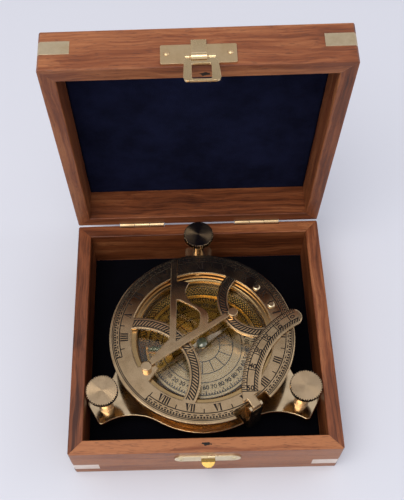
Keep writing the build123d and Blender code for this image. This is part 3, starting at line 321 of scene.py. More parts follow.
# Dial and cone ring, their radii in mm
DIAL_CIRCLES = (10.4, 18.0, 23.3, 31.0)
DIAL_TENS = (28.5, 29.7)             # strokes each 10 degrees
DIAL_FINE = (29.7, 30.8)             # strokes each 3 degrees, coarse so that they show
DIAL_LINE = 0.5 * MM                 # drawn wide, so that the print shows through the glass
DIAL_STROKE = 0.75 * MM
DIAL_POINT = pi / 8                  # sixteen points round the dial
PAINTED_REFLECTION_SIDE = (0.45, -0.89, 0.0)     # towards the part painted paler, a painted reflection
PAINTED_REFLECTION_EDGE = (6 * MM, 12 * MM)      # where the painted reflection begins and where it is whole
PAINTED_REFLECTION_DRIFT = 10 * MM               # how far its edge wanders
CONE_CIRCLES = (33.2 * MM, 36.1 * MM)
CONE_LINE, CONE_STROKE = 0.4 * MM, 0.6 * MM
CONE_STEP = pi / 60
CONE_SLANT = 1.4 * MM

# Knobs: their knurl's grooves are painted shade
KNURL_STEP = radians(9)
KNURL_GROOVE = 0.52 * MM             # painted shade of a groove, drawn wide, so that the knurl shows
KNURL_IN = 0.75 * MM                 # foot of the grooves in from the knob's edge
KNURL_REACH = 2 * MM                 # far enough to pass the knob's edge


def circle(radius, thick, **strokes):
    """Mark along a circle: a line, or strokes that come again."""
    return Mark(radius - thick / 2, radius + thick / 2, **strokes)


def polar(tree, coords, centre, turn, top):
    """Radius and angle about an upright axis, and 1 on the faces at a height."""
    flat = add(tree, "VectorMath", {0: coords, 1: (centre.x, centre.y, 0.0)},
               operation="SUBTRACT")
    parts = add(tree, "SeparateXYZ", {0: flat})
    radius = add(tree, "VectorMath", {0: add(
        tree, "VectorMath", {0: flat, 1: (1.0, 1.0, 0.0)}, operation="MULTIPLY")},
        operation="LENGTH").outputs["Value"]
    angle = add(tree, "Math", {0: parts.outputs["Y"], 1: parts.outputs["X"]},
                operation="ARCTAN2")
    angle = add(tree, "Math", {0: angle, 1: turn}, operation="SUBTRACT")
    angle = add(tree, "Math", {0: angle, 1: pi, 2: -pi}, operation="WRAP")
    face = add(tree, "Math", {0: parts.outputs["Z"], 1: top, 2: FACE_SLACK},
               operation="COMPARE")
    return radius, angle, face


def etch(tree, radius, angle, marks):
    """Mask of many marks: a mark is a band of radii, and with a step it is strokes that come
    again at each step, leaning by an angle per metre, between the angles of its span."""
    made = None
    for mark in marks:
        mask = add(tree, "Math", {0: radius, 1: (mark.low + mark.high) / 2,
                                  2: (mark.high - mark.low) / 2}, operation="COMPARE")
        if mark.step:
            along = add(tree, "Math", {0: radius, 1: mark.lean, 2: angle},
                        operation="MULTIPLY_ADD")
            along = add(tree, "Math", {0: along, 1: mark.start}, operation="SUBTRACT")
            along = add(tree, "Math", {0: along, 1: mark.step / 2}, operation="PINGPONG")
            along = add(tree, "Math", {0: along, 1: radius}, operation="MULTIPLY")
            along = add(tree, "Math", {0: along, 1: mark.width / 2}, operation="LESS_THAN")
            mask = add(tree, "Math", {0: mask, 1: along}, operation="MULTIPLY")
        if mark.span is not None:
            inside = add(tree, "Math", {0: angle, 1: (mark.span[0] + mark.span[1]) / 2,
                                        2: (mark.span[1] - mark.span[0]) / 2},
                         operation="COMPARE")
            mask = add(tree, "Math", {0: mask, 1: inside}, operation="MULTIPLY")
        if made is not None:
            mask = add(tree, "Math", {0: made, 1: mask}, operation="MAXIMUM")
        made = mask
    return made


# Finishes
BROAD_SHARE, FINE_SHARE = 0.62, 0.38   # of the broad bands and the fine lines in the figure
WOOD_STOPS = (0.34, 0.48, 0.64)      # where the dark, middle and light tones stand
PORE_EDGE = (0.56, 0.68)             # noise at which a pore begins and is whole
PORE_SHADE = 0.45
CHIP_STRETCH = (0.45, 1.0, 1.0)      # the splintered spot is long along the rim


def streaks(tree, grain, long, wide, shape):
    """Noise drawn out along the grain, in streaks of a length and a width."""
    drawn = add(tree, "VectorMath", {0: grain, 1: (1 / long, 1 / wide, 1 / wide)},
                operation="MULTIPLY")
    return add(tree, "TexNoise", {"Vector": drawn, "Scale": 1.0, **shape})


def splintered(tree, coords, base, place):
    """Colour of a board with a ragged dark spot at a place."""
    case = bpy.context.scene.compass_case
    away = add(tree, "VectorMath", {0: coords, 1: place}, operation="SUBTRACT")
    away = add(tree, "VectorMath", {0: away, 1: CHIP_STRETCH}, operation="MULTIPLY")
    away = add(tree, "VectorMath", {0: away}, operation="LENGTH").outputs["Value"]
    ragged = add(tree, "TexNoise", {"Vector": coords, "Scale": 1 / (1.2 * MM)})
    away = add(tree, "Math", {0: ragged, 1: case.chip / 2, 2: away}, operation="MULTIPLY_ADD")
    spot = add(tree, "Math", {0: away, 1: case.chip / 2}, operation="LESS_THAN")
    return add(tree, "Mix", {0: spot, MIX_A: base, MIX_B: rgba(case.chip_colour)},
               data_type="RGBA").outputs[MIX_OUT]


def wood(name, turn, shift, tone, chip=None):
    """Sheesham, planed, oiled and waxed: warm brown bands, fine growth lines, open pores and a
    satin gloss. The turn lays the grain along a board, and the tone makes it paler or darker,
    partly as painted light and shade."""
    case = bpy.context.scene.compass_case
    material, tree, coords = new_material(name)
    grain = add(tree, "Mapping", {"Vector": coords, "Rotation": turn, "Location": shift})
    drift = add(tree, "TexNoise", {"Vector": grain, "Scale": 1 / (45 * MM), "Detail": 2.0})
    drift = add(tree, "VectorMath", {0: drift.outputs["Color"], 1: (0.5, 0.5, 0.5)},
                operation="SUBTRACT")
    drift = add(tree, "VectorMath", {0: drift, "Scale": 7 * MM}, operation="SCALE")
    grain = add(tree, "VectorMath", {0: grain, 1: drift}, operation="ADD")
    broad = streaks(tree, grain, case.figure_length, case.figure_width,
                    {"Detail": 3.0, "Roughness": 0.6, "Distortion": 0.5})
    fine = streaks(tree, grain, case.figure_length, case.ring_width,
                   {"Detail": 4.0, "Roughness": 0.65})
    mixed = add(tree, "Math", {0: broad, 1: BROAD_SHARE, 2: tone}, operation="MULTIPLY_ADD")
    mixed = add(tree, "Math", {0: fine, 1: FINE_SHARE, 2: mixed}, operation="MULTIPLY_ADD")
    ramp = add(tree, "ValToRGB", {0: mixed})
    stops = ramp.color_ramp.elements
    stops.new(WOOD_STOPS[1])
    for stop, place, shade in zip(stops, WOOD_STOPS,
                                  (case.wood_dark, case.wood_middle, case.wood_light)):
        stop.position = place
        stop.color = rgba(shade)
    pores = streaks(tree, grain, case.pore_length, case.pore_width, {"Detail": 2.0})
    pores = add(tree, "MapRange", {"Value": pores, "From Min": PORE_EDGE[0],
                                   "From Max": PORE_EDGE[1]})
    shade = add(tree, "Math", {0: pores, 1: PORE_SHADE}, operation="MULTIPLY")
    base = add(tree, "Mix", {0: shade, MIX_A: ramp, MIX_B: rgba(case.wood_dark)},
               data_type="RGBA").outputs[MIX_OUT]
    if chip is not None:
        base = splintered(tree, coords, base, chip)
    rough = add(tree, "MapRange", {"Value": fine, "From Min": 0.3, "From Max": 0.7,
                                   "To Min": 0.34, "To Max": 0.5})
    softened = add(tree, "Bevel", {"Radius": 0.5 * MM}, samples=4)
    bump = add(tree, "Bump", {"Height": pores, "Strength": 0.3, "Distance": 0.15 * MM,
                              "Normal": softened}, invert=True)
    shader = add(tree, "BsdfPrincipled", {
        "Base Color": base, "Roughness": rough, "Normal": bump, "IOR": 1.5,
        "Specular IOR Level": 0.35, "Coat Weight": 0.05, "Coat Roughness": 0.3,
        "Coat IOR": 1.5})
    add(tree, "OutputMaterial", {"Surface": shader})
    return material


def velvet(name, pile_colour):
    """Cotton velvet, woven and cut: a deep pile that only gleams where it is seen aslant."""
    case = bpy.context.scene.compass_case
    material, tree, coords = new_material(name)
    nap = add(tree, "TexNoise", {"Vector": coords, "Scale": 1 / (20 * MM), "Detail": 5.0,
                                 "Roughness": 0.65})
    tuft = add(tree, "TexNoise", {"Vector": coords, "Scale": 1 / (0.7 * MM), "Detail": 2.0})
    lean = add(tree, "MapRange", {"Value": nap, "From Min": 0.35, "From Max": 0.65,
                                  "To Max": 0.55})
    base = add(tree, "Mix", {0: lean, MIX_A: rgba(pile_colour), MIX_B: rgba(case.velvet_shade)},
               data_type="RGBA").outputs[MIX_OUT]
    bump = add(tree, "Bump", {"Height": tuft, "Strength": 0.5, "Distance": 0.3 * MM})
    shader = add(tree, "BsdfPrincipled", {
        "Base Color": base, "Roughness": 0.95, "Normal": bump, "Specular IOR Level": 0.05,
        "Sheen Weight": 0.06, "Sheen Roughness": 0.4, "Sheen Tint": rgba(case.velvet_sheen)})
    add(tree, "OutputMaterial", {"Surface": shader})
    return material


def brass_shader(tree, coords, metal, mask=None, rough=(0.1, 0.2), tarnish=0.35, tangent=None,
                 edge=0.3 * MM):
    """Polished brass with dulled clouds, faint rubbing and softened edges that catch the
    light, and wax where the mask is 1, which on a knob's knurl is painted shade."""
    brass = bpy.context.scene.compass_brass
    clouds = add(tree, "TexNoise", {"Vector": coords, "Scale": 1 / (9 * MM), "Detail": 4.0,
                                    "Roughness": 0.6})
    dull = add(tree, "MapRange", {"Value": clouds, "From Min": 0.42, "From Max": 0.7,
                                  "To Max": tarnish})
    bare_metal = metal if isinstance(metal, bpy.types.NodeSocket) else rgba(metal)
    base = add(tree, "Mix", {0: dull, MIX_A: bare_metal, MIX_B: rgba(brass.tarnish)},
               data_type="RGBA").outputs[MIX_OUT]
    gloss = add(tree, "MapRange", {"Value": clouds, "From Min": 0.35, "From Max": 0.7,
                                   "To Min": rough[0], "To Max": rough[1]})
    softened = add(tree, "Bevel", {"Radius": edge}, samples=4)
    rubbed = add(tree, "TexNoise", {"Vector": coords, "Scale": 1 / (0.5 * MM), "Detail": 2.0})
    bump = add(tree, "Bump", {"Height": rubbed, "Strength": 0.05, "Distance": 0.05 * MM,
                              "Normal": softened})
    sockets = {"Base Color": base, "Metallic": 1.0, "Roughness": gloss, "Normal": bump,
               "Specular IOR Level": 0.15}
    if tangent is not None:
        sockets["Tangent"] = tangent
        sockets["Anisotropic"] = 0.9
    if mask is not None:
        bare = add(tree, "Math", {0: 1.0, 1: mask}, operation="SUBTRACT")
        sockets["Base Color"] = add(
            tree, "Mix", {0: mask, MIX_A: base, MIX_B: rgba(brass.fill)},
            data_type="RGBA").outputs[MIX_OUT]
        sockets["Metallic"] = bare
        sockets["Roughness"] = add(tree, "Math", {0: mask, 1: 0.45, 2: gloss},
                                   operation="MULTIPLY_ADD")
        sockets["Normal"] = add(tree, "Bump", {"Height": bare, "Normal": bump, "Strength": 0.3,
                                               "Distance": 0.06 * MM})
    shader = add(tree, "BsdfPrincipled", sockets)
    add(tree, "OutputMaterial", {"Surface": shader})


def polished_brass(name, metal, **finish):
    """Brass, cast or rolled, filed and buffed: a warm mirror with dulled clouds."""
    material, tree, coords = new_material(name)
    brass_shader(tree, coords, metal, **finish)
    return material


TONGUE_OUT = (1.0 * MM, 2.0 * MM)    # how far off the wall the tongue's gold begins and is whole


def rubbed_catch():
    """Brass plate, rolled and bent: its face is painted pale as a painted highlight of the front
    light, and the tongue that stands out from it is painted a darker gold."""
    brass = bpy.context.scene.compass_brass
    material, tree, coords = new_material("brass_rolled_catch")
    wall = corners("base_front_wall")[0].y
    out = add(tree, "SeparateXYZ", {0: coords})
    out = add(tree, "MapRange", {"Value": out.outputs["Y"], "From Min": wall - TONGUE_OUT[0],
                                 "From Max": wall - TONGUE_OUT[1]})
    metal = add(tree, "Mix", {0: out, MIX_A: rgba(brass.catch), MIX_B: rgba(brass.tongue)},
                data_type="RGBA").outputs[MIX_OUT]
    brass_shader(tree, coords, metal, rough=(0.26, 0.36), tarnish=0.2)
    return material


def turned_brass(name, metal, centre, rough=(0.22, 0.32), knurl=None):
    """Brass turned on a lathe: fine rings round an axis, which fan a highlight out in wedges.
    From the knurl's radius outwards dark grooves are painted across it, painted shade in the
    knurl."""
    material, tree, coords = new_material(name)
    arm = add(tree, "VectorMath", {0: coords, 1: (centre.x, centre.y, 0.0)},
              operation="SUBTRACT")
    along = add(tree, "VectorMath", {0: arm, 1: (0.0, 0.0, 1.0)}, operation="CROSS_PRODUCT")
    along = add(tree, "VectorMath", {0: along}, operation="NORMALIZE")
    mask = None
    if knurl is not None:
        radius, angle, _ = polar(tree, coords, centre, 0.0, centre.z)
        # Painted shade: dark grooves across the knob's edge
        mask = etch(tree, radius, angle, [
            Mark(knurl, knurl + KNURL_REACH, step=KNURL_STEP, width=KNURL_GROOVE)])
    brass_shader(tree, coords, metal, mask=mask, rough=rough, tarnish=0.25, tangent=along)
    return material


def engraved_ring():
    """Brass plate, etched and wax filled: the hour ring's circles, dots, dashes and half hour
    strokes, and the twisted border along its two arms."""
    brass = bpy.context.scene.compass_brass
    scale = bpy.context.scene.compass_scale
    material, tree, coords = new_material("brass_etched_hour_ring")
    radius, angle, face = polar(tree, coords, HOUR_CENTRE, NOON, RING_TOP)
    line = brass.line
    noon = scale.noon_turn
    band = (-HOUR_BAND, HOUR_BAND)
    inner, dashes, dots, outer_line, rim_line = (RING_OUT - value * MM for value in RING_LINES)
    marks = [circle(inner, line, span=band),
             circle(outer_line, line * RIM_LINE), circle(rim_line, line * RIM_LINE)]
    marks += [Mark(inner, outer_line, step=ONCE, start=end, width=line) for end in band]
    for hour, half in ((scale.afternoon_hour, (band[0], noon)),
                       (scale.morning_hour, (noon, band[1]))):
        marks += [
            circle(dashes, DASH_WIDE, step=hour / DASHES, start=noon, width=DASH_LONG,
                   span=half),
            circle(dots, DOT, step=hour / DOTS, start=noon, width=DOT, span=half),
            Mark(inner - HALF_HOUR, inner, step=hour, start=noon + hour / 2, width=line,
                 span=half)]
    mask = etch(tree, radius, angle, marks)
    within_ring = add(tree, "Math", {0: radius, 1: ARM_END}, operation="LESS_THAN")
    for place, low, high in ARM_BORDERS:
        spot = NOON_FRAME @ Vector((place, 0, 0))
        arm_radius, arm_angle, _ = polar(tree, coords, spot, NOON, RING_TOP)
        step = ARM_STEP / ((low + high) / 2)
        border = etch(tree, arm_radius, arm_angle, [
            circle(low, line), circle(high, line),
            Mark(low + BORDER_GAP, high - BORDER_GAP, step=step, width=ARM_STROKE,
                 lean=step / ARM_SLANT)])
        border = add(tree, "Math", {0: border, 1: within_ring}, operation="MULTIPLY")
        mask = add(tree, "Math", {0: mask, 1: border}, operation="MAXIMUM")
    mask = add(tree, "Math", {0: mask, 1: face}, operation="MULTIPLY")
    brass_shader(tree, coords, brass.brass, mask=mask, rough=(0.13, 0.24), edge=0.9 * MM)
    return material


def engraved_arc():
    """Brass plate, etched and wax filled: the latitude arc's degrees, boxes and twisted
    border."""
    brass = bpy.context.scene.compass_brass
    material, tree, coords = new_material("brass_etched_latitude_arc")
    radius, angle, face = polar(tree, coords, ARC_CENTRE, NOON, ARC_TOP)
    line = brass.line
    scale_line, box_line, rope_line = (ARC_OUT - value * MM for value in ARC_LINES)
    degree = ARC_STEP / 5
    marks = [
        Mark(scale_line, ARC_OUT, step=degree, start=ARC_START, width=ARC_TICK,
             span=ARC_BAND),
        Mark(ARC_OUT - ARC_SHORT, ARC_OUT, step=degree, start=ARC_START + degree / 2,
             width=ARC_TICK, span=ARC_BAND),
        circle(scale_line, line, span=ARC_BAND),
        Mark(box_line, scale_line, step=ARC_STEP, start=ARC_START + ARC_BOX_TURN, width=line,
             span=(ARC_BAND[0], ARC_LAST - ARC_STEP / 2)),
        circle(box_line, line, span=ARC_BAND),
        Mark(rope_line, box_line - BORDER_GAP, step=ARC_ROPE_STEP, width=ARC_ROPE,
             lean=ARC_ROPE_LEAN, span=ARC_BAND),
        Mark(rope_line, ARC_OUT, step=ONCE, start=ARC_BAND[1], width=line)]
    mask = etch(tree, radius, angle, marks)
    mask = add(tree, "Math", {0: mask, 1: face}, operation="MULTIPLY")
    brass_shader(tree, coords, brass.brass, mask=mask, rough=(0.08, 0.16), edge=1.1 * MM)
    return material


def dial_print():
    """Brass card, etched and lacquered, under a clear gloss: its front part is painted pale
    silver as a painted reflection of the bright backdrop, and the rest is gold."""
    dial = bpy.context.scene.compass_dial
    material, tree, coords = new_material("brass_dial_painted_reflection")
    radius, angle, face = polar(tree, coords, AXIS, NOON, CARD_TOP)
    circles = [value * MM for value in DIAL_CIRCLES]
    marks = [Mark(circles[0], circles[1], step=DIAL_POINT, start=DIAL_POINT / 2,
                  width=DIAL_LINE),
             Mark(DIAL_TENS[0] * MM, DIAL_TENS[1] * MM, step=radians(10), width=DIAL_LINE),
             Mark(DIAL_FINE[0] * MM, DIAL_FINE[1] * MM, step=radians(3), width=DIAL_STROKE)]
    marks += [circle(value, DIAL_LINE) for value in circles]
    mask = etch(tree, radius, angle, marks)
    mask = add(tree, "Math", {0: mask, 1: face}, operation="MULTIPLY")
    # Painted reflection: the dial is painted paler towards its front part
    ahead = add(tree, "VectorMath", {0: coords, 1: (AXIS.x, AXIS.y, 0.0)}, operation="SUBTRACT")
    ahead = add(tree, "VectorMath", {0: ahead, 1: PAINTED_REFLECTION_SIDE},
                operation="DOT_PRODUCT").outputs["Value"]
    clouds = add(tree, "TexNoise", {"Vector": coords, "Scale": 1 / (8 * MM), "Detail": 3.0})
    ahead = add(tree, "Math", {0: clouds, 1: PAINTED_REFLECTION_DRIFT, 2: ahead}, operation="MULTIPLY_ADD")
    silver = add(tree, "MapRange", {"Value": ahead, "From Min": PAINTED_REFLECTION_EDGE[0],
                                    "From Max": PAINTED_REFLECTION_EDGE[1]})
    base = add(tree, "Mix", {0: silver, MIX_A: rgba(dial.gold), MIX_B: rgba(dial.silver)},
               data_type="RGBA").outputs[MIX_OUT]
    base = add(tree, "Mix", {0: mask, MIX_A: base, MIX_B: rgba(dial.ink)},
               data_type="RGBA").outputs[MIX_OUT]
    bare = add(tree, "Math", {0: 0.9, 1: mask}, operation="SUBTRACT", use_clamp=True)
    shader = add(tree, "BsdfPrincipled", {
        "Base Color": base, "Metallic": bare, "Roughness": 0.25,
        "Coat Weight": 0.2, "Coat Roughness": 0.05, "Coat IOR": 1.5})
    add(tree, "OutputMaterial", {"Surface": shader})
    return material


def engraved_cone():
    """Brass ring, turned to a cone and etched with a plaited border that goes round it."""
    material, tree, coords = new_material("brass_etched_cone_ring")
    radius, angle, _ = polar(tree, coords, AXIS, NOON, CARD_TOP)
    marks = [circle(value, CONE_LINE) for value in CONE_CIRCLES]
    marks += [Mark(*CONE_CIRCLES, step=CONE_STEP, width=CONE_STROKE,
                   lean=side * CONE_STEP / CONE_SLANT) for side in (-1, 1)]
    brass_shader(tree, coords, bpy.context.scene.compass_brass.cone,
                 mask=etch(tree, radius, angle, marks), rough=(0.15, 0.25))
    return material


def mottled(tree, coords, patch, detail, first, second):
    """Colour that drifts between two settings, in patches of a size."""
    drift = add(tree, "TexNoise", {"Vector": coords, "Scale": 1 / patch, "Detail": detail})
    return add(tree, "Mix", {0: drift, MIX_A: rgba(first), MIX_B: rgba(second)},
               data_type="RGBA").outputs[MIX_OUT]


def needle_steel():
    """Steel blade, ground and polished bright: a pale grey mirror with faint clouds."""
    dial = bpy.context.scene.compass_dial
    material, tree, coords = new_material("steel_polished_needle")
    base = mottled(tree, coords, 3 * MM, 3.0, dial.steel_dark, dial.steel_light)
    shader = add(tree, "BsdfPrincipled", {"Base Color": base, "Metallic": 1.0,
                                          "Roughness": 0.16})
    add(tree, "OutputMaterial", {"Surface": shader})
    return material


def window_glass():
    """Float glass, cut and ground: clear, and bright only where it mirrors the room. Its IOR
    is under the usual 1.5, so that the mirror is as weak as in the photo."""
    dial = bpy.context.scene.compass_dial
    material, tree, coords = new_material("glass_float")
    smear = add(tree, "TexNoise", {"Vector": coords, "Scale": 1 / (12 * MM), "Detail": 3.0})
    rough = add(tree, "MapRange", {"Value": smear, "To Max": 0.03})
    shader = add(tree, "BsdfPrincipled", {
        "Base Color": rgba(dial.glass), "Roughness": rough, "IOR": 1.38,
        "Transmission Weight": 1.0})
    clear = add(tree, "BsdfTransparent", {"Color": rgba(dial.glass_shade)})
    path = add(tree, "LightPath")
    shadow = add(tree, "Math", {0: path.outputs["Is Shadow Ray"],
                                1: path.outputs["Is Diffuse Ray"]}, operation="MAXIMUM")
    mixed = add(tree, "MixShader", {0: shadow, 1: shader, 2: clear})
    add(tree, "OutputMaterial", {"Surface": mixed})
    return material


def level_fluid():
    """Glass tube, drawn and filled with yellow green spirit."""
    dial = bpy.context.scene.compass_dial
    material, tree, coords = new_material("glass_level_spirit")
    base = mottled(tree, coords, 4 * MM, 1.0, dial.spirit_dark, dial.spirit_light)
    shader = add(tree, "BsdfPrincipled", {
        "Base Color": base, "Roughness": 0.02, "IOR": 1.45, "Transmission Weight": 0.6,
        "Coat Weight": 0.5, "Coat Roughness": 0.02})
    add(tree, "OutputMaterial", {"Surface": shader})
    return material


def agate_cap():
    """Agate, ground and polished to a dome: grey green, clear at its skin, with a sharp
    glint."""
    dial = bpy.context.scene.compass_dial
    material, tree, coords = new_material("agate_polished_cap")
    base = mottled(tree, coords, 2 * MM, 3.0, dial.agate_dark, dial.agate_light)
    shader = add(tree, "BsdfPrincipled", {
        "Base Color": base, "Roughness": 0.1, "IOR": 1.54, "Coat Weight": 1.0,
        "Coat Roughness": 0.03, "Coat IOR": 1.9})
    add(tree, "OutputMaterial", {"Surface": shader})
    return material


def engraving_wax():
    """Black engraver's wax, rubbed in and set: dull and a little uneven."""
    brass = bpy.context.scene.compass_brass
    material, tree, coords = new_material("wax_engraving_fill")
    base = mottled(tree, coords, 0.6 * MM, 2.0, brass.fill, brass.crumb)
    shader = add(tree, "BsdfPrincipled", {"Base Color": base, "Roughness": 0.6,
                                          "Specular IOR Level": 0.15})
    add(tree, "OutputMaterial", {"Surface": shader})
    return material


def backdrop_paper():
    """Paper, pressed matt: one even tone with the faintest tooth."""
    material, tree, coords = new_material("paper_matt_backdrop")
    tooth = add(tree, "TexNoise", {"Vector": coords, "Scale": 1 / (1.5 * MM), "Detail": 2.0})
    bump = add(tree, "Bump", {"Height": tooth, "Strength": 0.03, "Distance": 0.1 * MM})
    shader = add(tree, "BsdfPrincipled", {
        "Base Color": rgba(bpy.context.scene.compass_stage.floor), "Roughness": 0.9,
        "Normal": bump, "Specular IOR Level": 0.1})
    add(tree, "OutputMaterial", {"Surface": shader})
    return material


# Pieces
SHEET_CUTS = 120                     # cells along each side of a sheet
SHEET_THICK = 0.55                   # share of the solid lining's thickness
SHEET_ROLL = 1.2 * MM                # width of the edge that rolls down
SHEET_DROP = 0.9                     # share of the room under the sheet that the roll takes
SHEET_WAVE, SHEET_SWELL = 17 * MM, 0.09 * MM   # length and height of the soft waves
SHEET_SEED = 3.7


def velvet_sheet(name, node, open_place):
    """Velvet cut to a panel: a soft sheet with rolled edges in its CAD solid's space."""
    shut = open_place.inverted()
    points = [shut @ v.co for v in NODES[node].data.vertices]
    low = Vector([min(p[i] for p in points) for i in range(3)])
    high = Vector([max(p[i] for p in points) for i in range(3)])
    size = high - low
    facing = 1.0 if open_place == Matrix.Identity(4) else -1.0
    deselect()
    bpy.ops.mesh.primitive_grid_add(x_subdivisions=SHEET_CUTS, y_subdivisions=SHEET_CUTS,
                                    size=1, location=(0, 0, 0))
    piece = bpy.context.object
    thick = size.z * SHEET_THICK
    face = high.z if facing > 0 else low.z
    for v in piece.data.vertices:
        x, y = v.co.x * size.x, v.co.y * size.y
        edge = min(size.x / 2 - abs(x), size.y / 2 - abs(y))
        roll = max(0.0, 1 - edge / SHEET_ROLL) ** 2 * (size.z - thick) * SHEET_DROP
        swell = (noise.noise(Vector((x, y, SHEET_SEED)) / SHEET_WAVE) + 1) * SHEET_SWELL
        v.co = ((low.x + high.x) / 2 + x, (low.y + high.y) / 2 + y,
                face - facing * (roll + swell))
    bpy.ops.object.modifier_add(type="SOLIDIFY")
    piece.modifiers[0].thickness = thick
    piece.modifiers[0].offset = -facing
    bpy.ops.object.modifier_apply(modifier=piece.modifiers[0].name)
    if facing < 0:
        bpy.ops.object.mode_set(mode="EDIT")
        bpy.ops.mesh.select_all(action="SELECT")
        bpy.ops.mesh.normals_make_consistent(inside=False)
        bpy.ops.object.mode_set(mode="OBJECT")
    bpy.ops.object.shade_smooth()
    return settle(piece, open_place, name), (size.x, size.y)


# Roman numerals, in heights of a letter
STROKE, THIN = 0.19, 0.09            # thick and thin strokes
SERIF, SERIF_T = 0.13, 0.045         # half width and thickness of a serif
ADVANCE = {"I": 0.31, "V": 0.66, "X": 0.7}
AFTERNOON = ("XII", "I", "II", "III", "IIII", "V", "VI", "VII", "VIII")
MORNING = ("XI", "X", "IX", "VIII", "VII", "VI", "V", "IIII")


def letter_outline(letter):
    """Outline of a Roman numeral's letter, one unit high on its middle."""
    s, f, e = STROKE / 2, SERIF, SERIF_T
    if letter == "I":
        return [(-f, -0.5), (f, -0.5), (f, -0.5 + e), (s, -0.5 + e), (s, 0.5 - e), (f, 0.5 - e),
                (f, 0.5), (-f, 0.5), (-f, 0.5 - e), (-s, 0.5 - e), (-s, -0.5 + e), (-f, -0.5 + e)]
    if letter == "V":
        return [(-0.02, -0.5), (0.05, -0.5), (0.3, 0.5 - e), (0.38, 0.5 - e), (0.38, 0.5),
                (0.14, 0.5), (0.14, 0.5 - e), (0.3 - THIN, 0.5 - e), (0.05, -0.28),
                (-0.2 + STROKE, 0.5 - e), (-0.12 + STROKE, 0.5 - e), (-0.12 + STROKE, 0.5),
                (-0.4, 0.5), (-0.4, 0.5 - e), (-0.32, 0.5 - e)]
    return [(-0.38, -0.5), (-0.16, -0.5), (-0.16, -0.5 + e), (-0.26, -0.5 + e),
            (0.01, -0.06), (0.22, -0.5 + e), (0.13, -0.5 + e), (0.13, -0.5), (0.42, -0.5),
            (0.42, -0.5 + e), (0.34, -0.5 + e), (0.07, 0.04), (0.3, 0.5 - e), (0.38, 0.5 - e),
            (0.38, 0.5), (0.16, 0.5), (0.16, 0.5 - e), (0.25, 0.5 - e), (0.03, 0.14),
            (-0.18, 0.5 - e), (-0.1, 0.5 - e), (-0.1, 0.5), (-0.42, 0.5), (-0.42, 0.5 - e),
            (-0.32, 0.5 - e), (-0.04, 0.02), (-0.3, -0.5 + e), (-0.38, -0.5 + e)]


def numeral_splines(curve, word, height, radius, angle):
    """Letters of one numeral on a circle, their tops towards its centre."""
    width = sum(ADVANCE[letter] for letter in word) * height
    run = -width / 2
    for letter in word:
        at = angle + (run + ADVANCE[letter] * height / 2) / radius
        run += ADVANCE[letter] * height
        place = Vector((radius * cos(at), radius * sin(at), 0))
        upright = Matrix.Rotation(at + pi / 2, 3, "Z")
        outline = letter_outline(letter)
        spline = curve.splines.new("POLY")
        spline.points.add(len(outline) - 1)
        for point, (x, y) in zip(spline.points, outline):
            point.co = (*(place + upright @ Vector((x, y, 0)) * height), 1)
        spline.use_cyclic_u = True


def hour_numerals():
    """Roman hours round the ring, as wax that fills the etching."""
    scale = bpy.context.scene.compass_scale
    deselect()
    bpy.ops.object.add(type="CURVE", location=(0, 0, 0))
    curve = bpy.context.object.data
    curve.dimensions = "2D"
    curve.fill_mode = "BOTH"
    curve.extrude = scale.relief
    for words, first, hour in ((AFTERNOON, 0, -scale.afternoon_hour),
                               (MORNING, 1, scale.morning_hour)):
        for index, word in enumerate(words, first):
            numeral_splines(curve, word, scale.numeral_height, RING_OUT - scale.numeral_in,
                            scale.noon_turn + index * hour)
    bpy.ops.object.convert(target="MESH")
    place = Matrix.Translation((HOUR_CENTRE.x, HOUR_CENTRE.y, RING_TOP)) \
        @ Matrix.Rotation(NOON, 4, "Z")
    return settle(bpy.context.object, place, "hour_numerals")


TEXT_SIZE = 1.38                     # text size for figures one unit high
ARC_BOLD, DIAL_BOLD = 0.045, 0.035   # growth of a figure's outline, in its heights


def figure(text, height, place, turn, bold):
    """Number as thin raised mesh, its middle at a place and its top turned to an angle."""
    deselect()
    bpy.ops.object.text_add(location=(0, 0, 0))
    piece = bpy.context.object
    piece.data.body = text
    piece.data.size = height * TEXT_SIZE
    piece.data.align_x = "CENTER"
    piece.data.align_y = "CENTER"
    piece.data.extrude = bpy.context.scene.compass_scale.relief
    piece.data.offset = height * bold
    piece.data.resolution_u = 3
    bpy.ops.object.convert(target="MESH")
    return settle(piece, Matrix.Translation(place) @ Matrix.Rotation(turn, 4, "Z"), "figure")


def figures_round(name, labels, height, centre, radius, top, turn, bold):
    """Figures on a circle as one piece, each at its angle and turned from it."""
    return join([
        figure(str(value), height,
               Vector((centre.x + radius * cos(angle), centre.y + radius * sin(angle), top)),
               angle + turn, bold)
        for value, angle in labels], name)


def latitude_figures():
    """Figures 0 to 50 in the boxes of the latitude arc, their tops towards its tip."""
    scale = bpy.context.scene.compass_scale
    places = [ARC_START + index * ARC_STEP for index in range(5)] + [ARC_LAST]
    labels = [(index * 10, NOON + place) for index, place in enumerate(places)]
    return figures_round("latitude_figures", labels, scale.arc_figure, ARC_CENTRE,
                         ARC_OUT - scale.arc_figure_in, ARC_TOP, -pi, ARC_BOLD)


def dial_figures():
    """Degrees in tens round the dial's four quarters, their tops towards its centre."""
    scale = bpy.context.scene.compass_scale
    labels = [(90 - abs(90 - degrees % 180), NOON - radians(degrees))
              for degrees in range(0, 360, 10)]
    return figures_round("dial_figures", labels, scale.dial_figure, AXIS, scale.dial_figure_r,
                         CARD_TOP, pi / 2, DIAL_BOLD)


CAP_R = 3.3 * MM
CAP_FOOT = 0.4 * MM                  # depth of the cap's foot in the needle's hub
CAP_CLEAR = 0.35 * MM                # between the cap and the glass
CAP_WALL = 0.4                       # share of the cap's height that is upright
CAP_RINGS = ((0.18, 0.2), (0.24, 0.2), (0.26, 0.13), (0.2, 0.05))   # way in and rise, as shares


